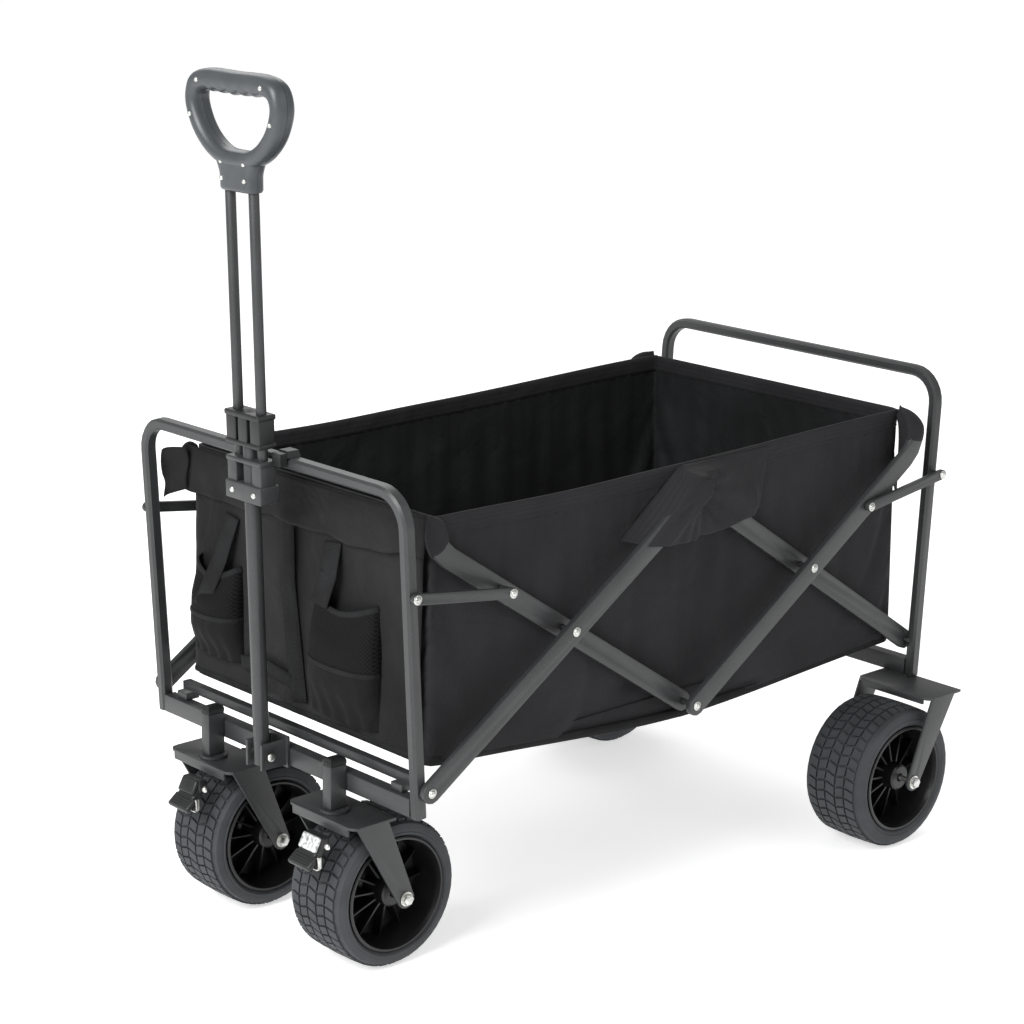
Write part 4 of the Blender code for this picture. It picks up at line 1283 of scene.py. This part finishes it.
class WAGON_OT_handle(bpy.types.Operator):
    """Model the grip, collars and handle hardware"""

    bl_idname = "wagon.handle"
    bl_label = "Handle"

    def execute(self, context):
        for sign, where in ((-1, "front"), (1, "back")):
            node = f"grip_{where}_shell"
            dress(grip_shell(sign), f"grip_{where}", "handle_slider", "grip_abs", 60, node)
        spots = [(-0.0148, *grip_line(n / 18).xy) for n in (3.7, 6.7, 11.3, 14.3)]
        spots += [(-0.0126, across, up) for across in (-0.0215, 0.0215) for up in (0.704, 0.7235)]
        dress(screws(spots, 0.0032, 0.0024), "grip_screws", "handle_slider", "bright_zinc_plate", 50)
        self.collars()
        self.hinge()
        return {"FINISHED"}

    def block(self, depth, left, right, low, high):
        """A block in the handle's own directions, as deep behind its middle as in front."""
        made = box((-depth, left, low), (depth, right, high), 0.002, 3)
        for vert in made.data.vertices:
            vert.co = on_handle(*vert.co)
        return made

    def collars(self):
        upper = [(0.0135, -0.0335, 0.0335, 0.389, 0.395), (0.0135, -0.0335, 0.0335, 0.423, 0.43),
                 (0.012, -0.0325, -0.014, 0.39, 0.429), (0.012, 0.014, 0.0325, 0.39, 0.429),
                 (0.0125, -0.0085, 0.0085, 0.39, 0.429)]
        lower = [(0.0145, -0.0345, 0.0345, 0.322, 0.344), (0.0135, -0.0335, 0.0335, 0.368, 0.374),
                 (0.012, -0.0325, -0.015, 0.34, 0.372), (0.012, 0.015, 0.0325, 0.34, 0.372)]
        for node, body, finish, blocks in (("upper_collar", "handle", "black_nylon", upper),
                                           ("lower_collar", "handle_slider", "grey_nylon", lower)):
            made = join([self.block(*block) for block in blocks])
            dress(made, f"{node}_moulding", body, finish, 30, node)
        made = screws([(-0.0143, across, 0.333) for across in (-0.021, 0.021)], 0.004, 0.0026)
        dress(made, "collar_screws", "handle_slider", "bright_zinc_plate", 50)

    def hinge(self):
        node = "handle_pivot_pin"
        low, high = corners_of(node)
        centre, half = (low + high) / 2, (high.y - low.y) / 2
        parts = [shank(centre, half, 0.0034)]
        parts += [rivet(centre + Vector((0, side * (half - 0.002), 0)), (0, side, 0), 0.0055, 0.003)
                  for side in (1, -1)]
        parts += [rivet(at(-0.0048, y, z), FORWARDS, 0.0032, 0.0034)
                  for y, z in ((-0.011, 0.233), (0.011, 0.233), (0.0, 0.229))]
        dress(join(parts), "handle_hinge_bolt", "front_frame", "bright_zinc_plate", 40, node)


# The studio -----------------------------------------------------------------------------------------

CAMERA_PLACE = (-2.264897, -2.4278, 1.3591)
CAMERA_TURN = (0.7404, 0.2611, 0.0129)  # yaw, pitch and roll
LENS_MM, SENSOR_MM = 92.19, 36.0
FLOOR_SIZE, WORLD_STRENGTH = 160.0, 0.5


class WAGON_OT_stage(bpy.types.Operator):
    """Set the floor, lights and camera"""

    bl_idname = "wagon.stage"
    bl_label = "Stage"

    def execute(self, context):
        clear_selection()
        bpy.ops.mesh.primitive_plane_add(size=FLOOR_SIZE, location=(0, 0, 0))
        floor = context.object
        floor.name = "studio_floor"
        coat(floor, "studio_floor")
        self.lights()
        self.camera(context)
        return {"FINISHED"}

    def lights(self):
        scene = bpy.context.scene
        world = scene.world or bpy.data.worlds.new("studio")
        scene.world = world
        world.use_nodes = True
        tree = world.node_tree
        feed(tree, tree.nodes["Background"], {"Color": (1, 1, 1, 1), "Strength": WORLD_STRENGTH})
        for name, place, power, size in (("key", (-3.0, -0.5, 2.4), 120, 1.8),
                                         ("fill", (0.8, -3.4, 2.6), 22, 2.6),
                                         ("back", (1.6, 2.6, 3.0), 40, 2.4)):
            bpy.ops.object.light_add(type="AREA", location=place)
            light = bpy.context.object
            light.name = f"studio_{name}"
            light.data.energy, light.data.size = power, size
            light.rotation_euler = (Vector((0, 0, 0.4)) - light.location).to_track_quat("-Z", "Y").to_euler()
        scene.view_settings.view_transform = "Standard"

    def camera(self, context):
        """A long lens from the front left, a little above the tub."""
        yaw, pitch, roll = CAMERA_TURN
        ahead = Vector((math.cos(pitch) * math.sin(yaw), math.cos(pitch) * math.cos(yaw), -math.sin(pitch)))
        right = Vector((math.cos(yaw), -math.sin(yaw), 0))
        up = right.cross(ahead)
        level = math.cos(roll) * right + math.sin(roll) * up
        upright = -math.sin(roll) * right + math.cos(roll) * up
        matrix = Matrix((level, upright, -ahead)).transposed().to_4x4()
        matrix.translation = CAMERA_PLACE
        data = bpy.data.cameras.new("camera")
        data.lens, data.sensor_width = LENS_MM, SENSOR_MM
        camera = bpy.data.objects.new("camera", data)
        camera.matrix_world = matrix
        context.scene.collection.objects.link(camera)
        context.scene.camera = camera


# Panel and registration -----------------------------------------------------------------------------

OPERATORS = (WAGON_OT_materials, WAGON_OT_steelwork, WAGON_OT_rivets, WAGON_OT_wheels, WAGON_OT_axles,
             WAGON_OT_brakes, WAGON_OT_post_caps, WAGON_OT_tub, WAGON_OT_flaps, WAGON_OT_front_panel,
             WAGON_OT_floor, WAGON_OT_handle, WAGON_OT_stage)


class WAGON_PT_sidebar(bpy.types.Panel):
    """Sizes, colours and steps of the wagon"""

    bl_label = "Folding camp wagon"
    bl_space_type = "VIEW_3D"
    bl_region_type = "UI"
    bl_category = "Wagon"

    def draw(self, context):
        for group in (context.scene.wagon_sizes, context.scene.wagon_colours):
            for name in group.__annotations__:
                self.layout.prop(group, name)
        for operator in OPERATORS:
            self.layout.operator(operator.bl_idname)


CLASSES = (WagonSizes, WagonColours, *OPERATORS, WAGON_PT_sidebar)


def register():
    for item in CLASSES:
        bpy.utils.register_class(item)
    bpy.types.Scene.wagon_sizes = bpy.props.PointerProperty(type=WagonSizes)
    bpy.types.Scene.wagon_colours = bpy.props.PointerProperty(type=WagonColours)


def unregister():
    del bpy.types.Scene.wagon_colours
    del bpy.types.Scene.wagon_sizes
    for item in reversed(CLASSES):
        bpy.utils.unregister_class(item)


def main():
    register()
    for operator in OPERATORS:
        family, step = operator.bl_idname.split(".")
        getattr(getattr(bpy.ops, family), step)()
    bpy.context.view_layer.update()


if __name__ == "__main__":
    main()
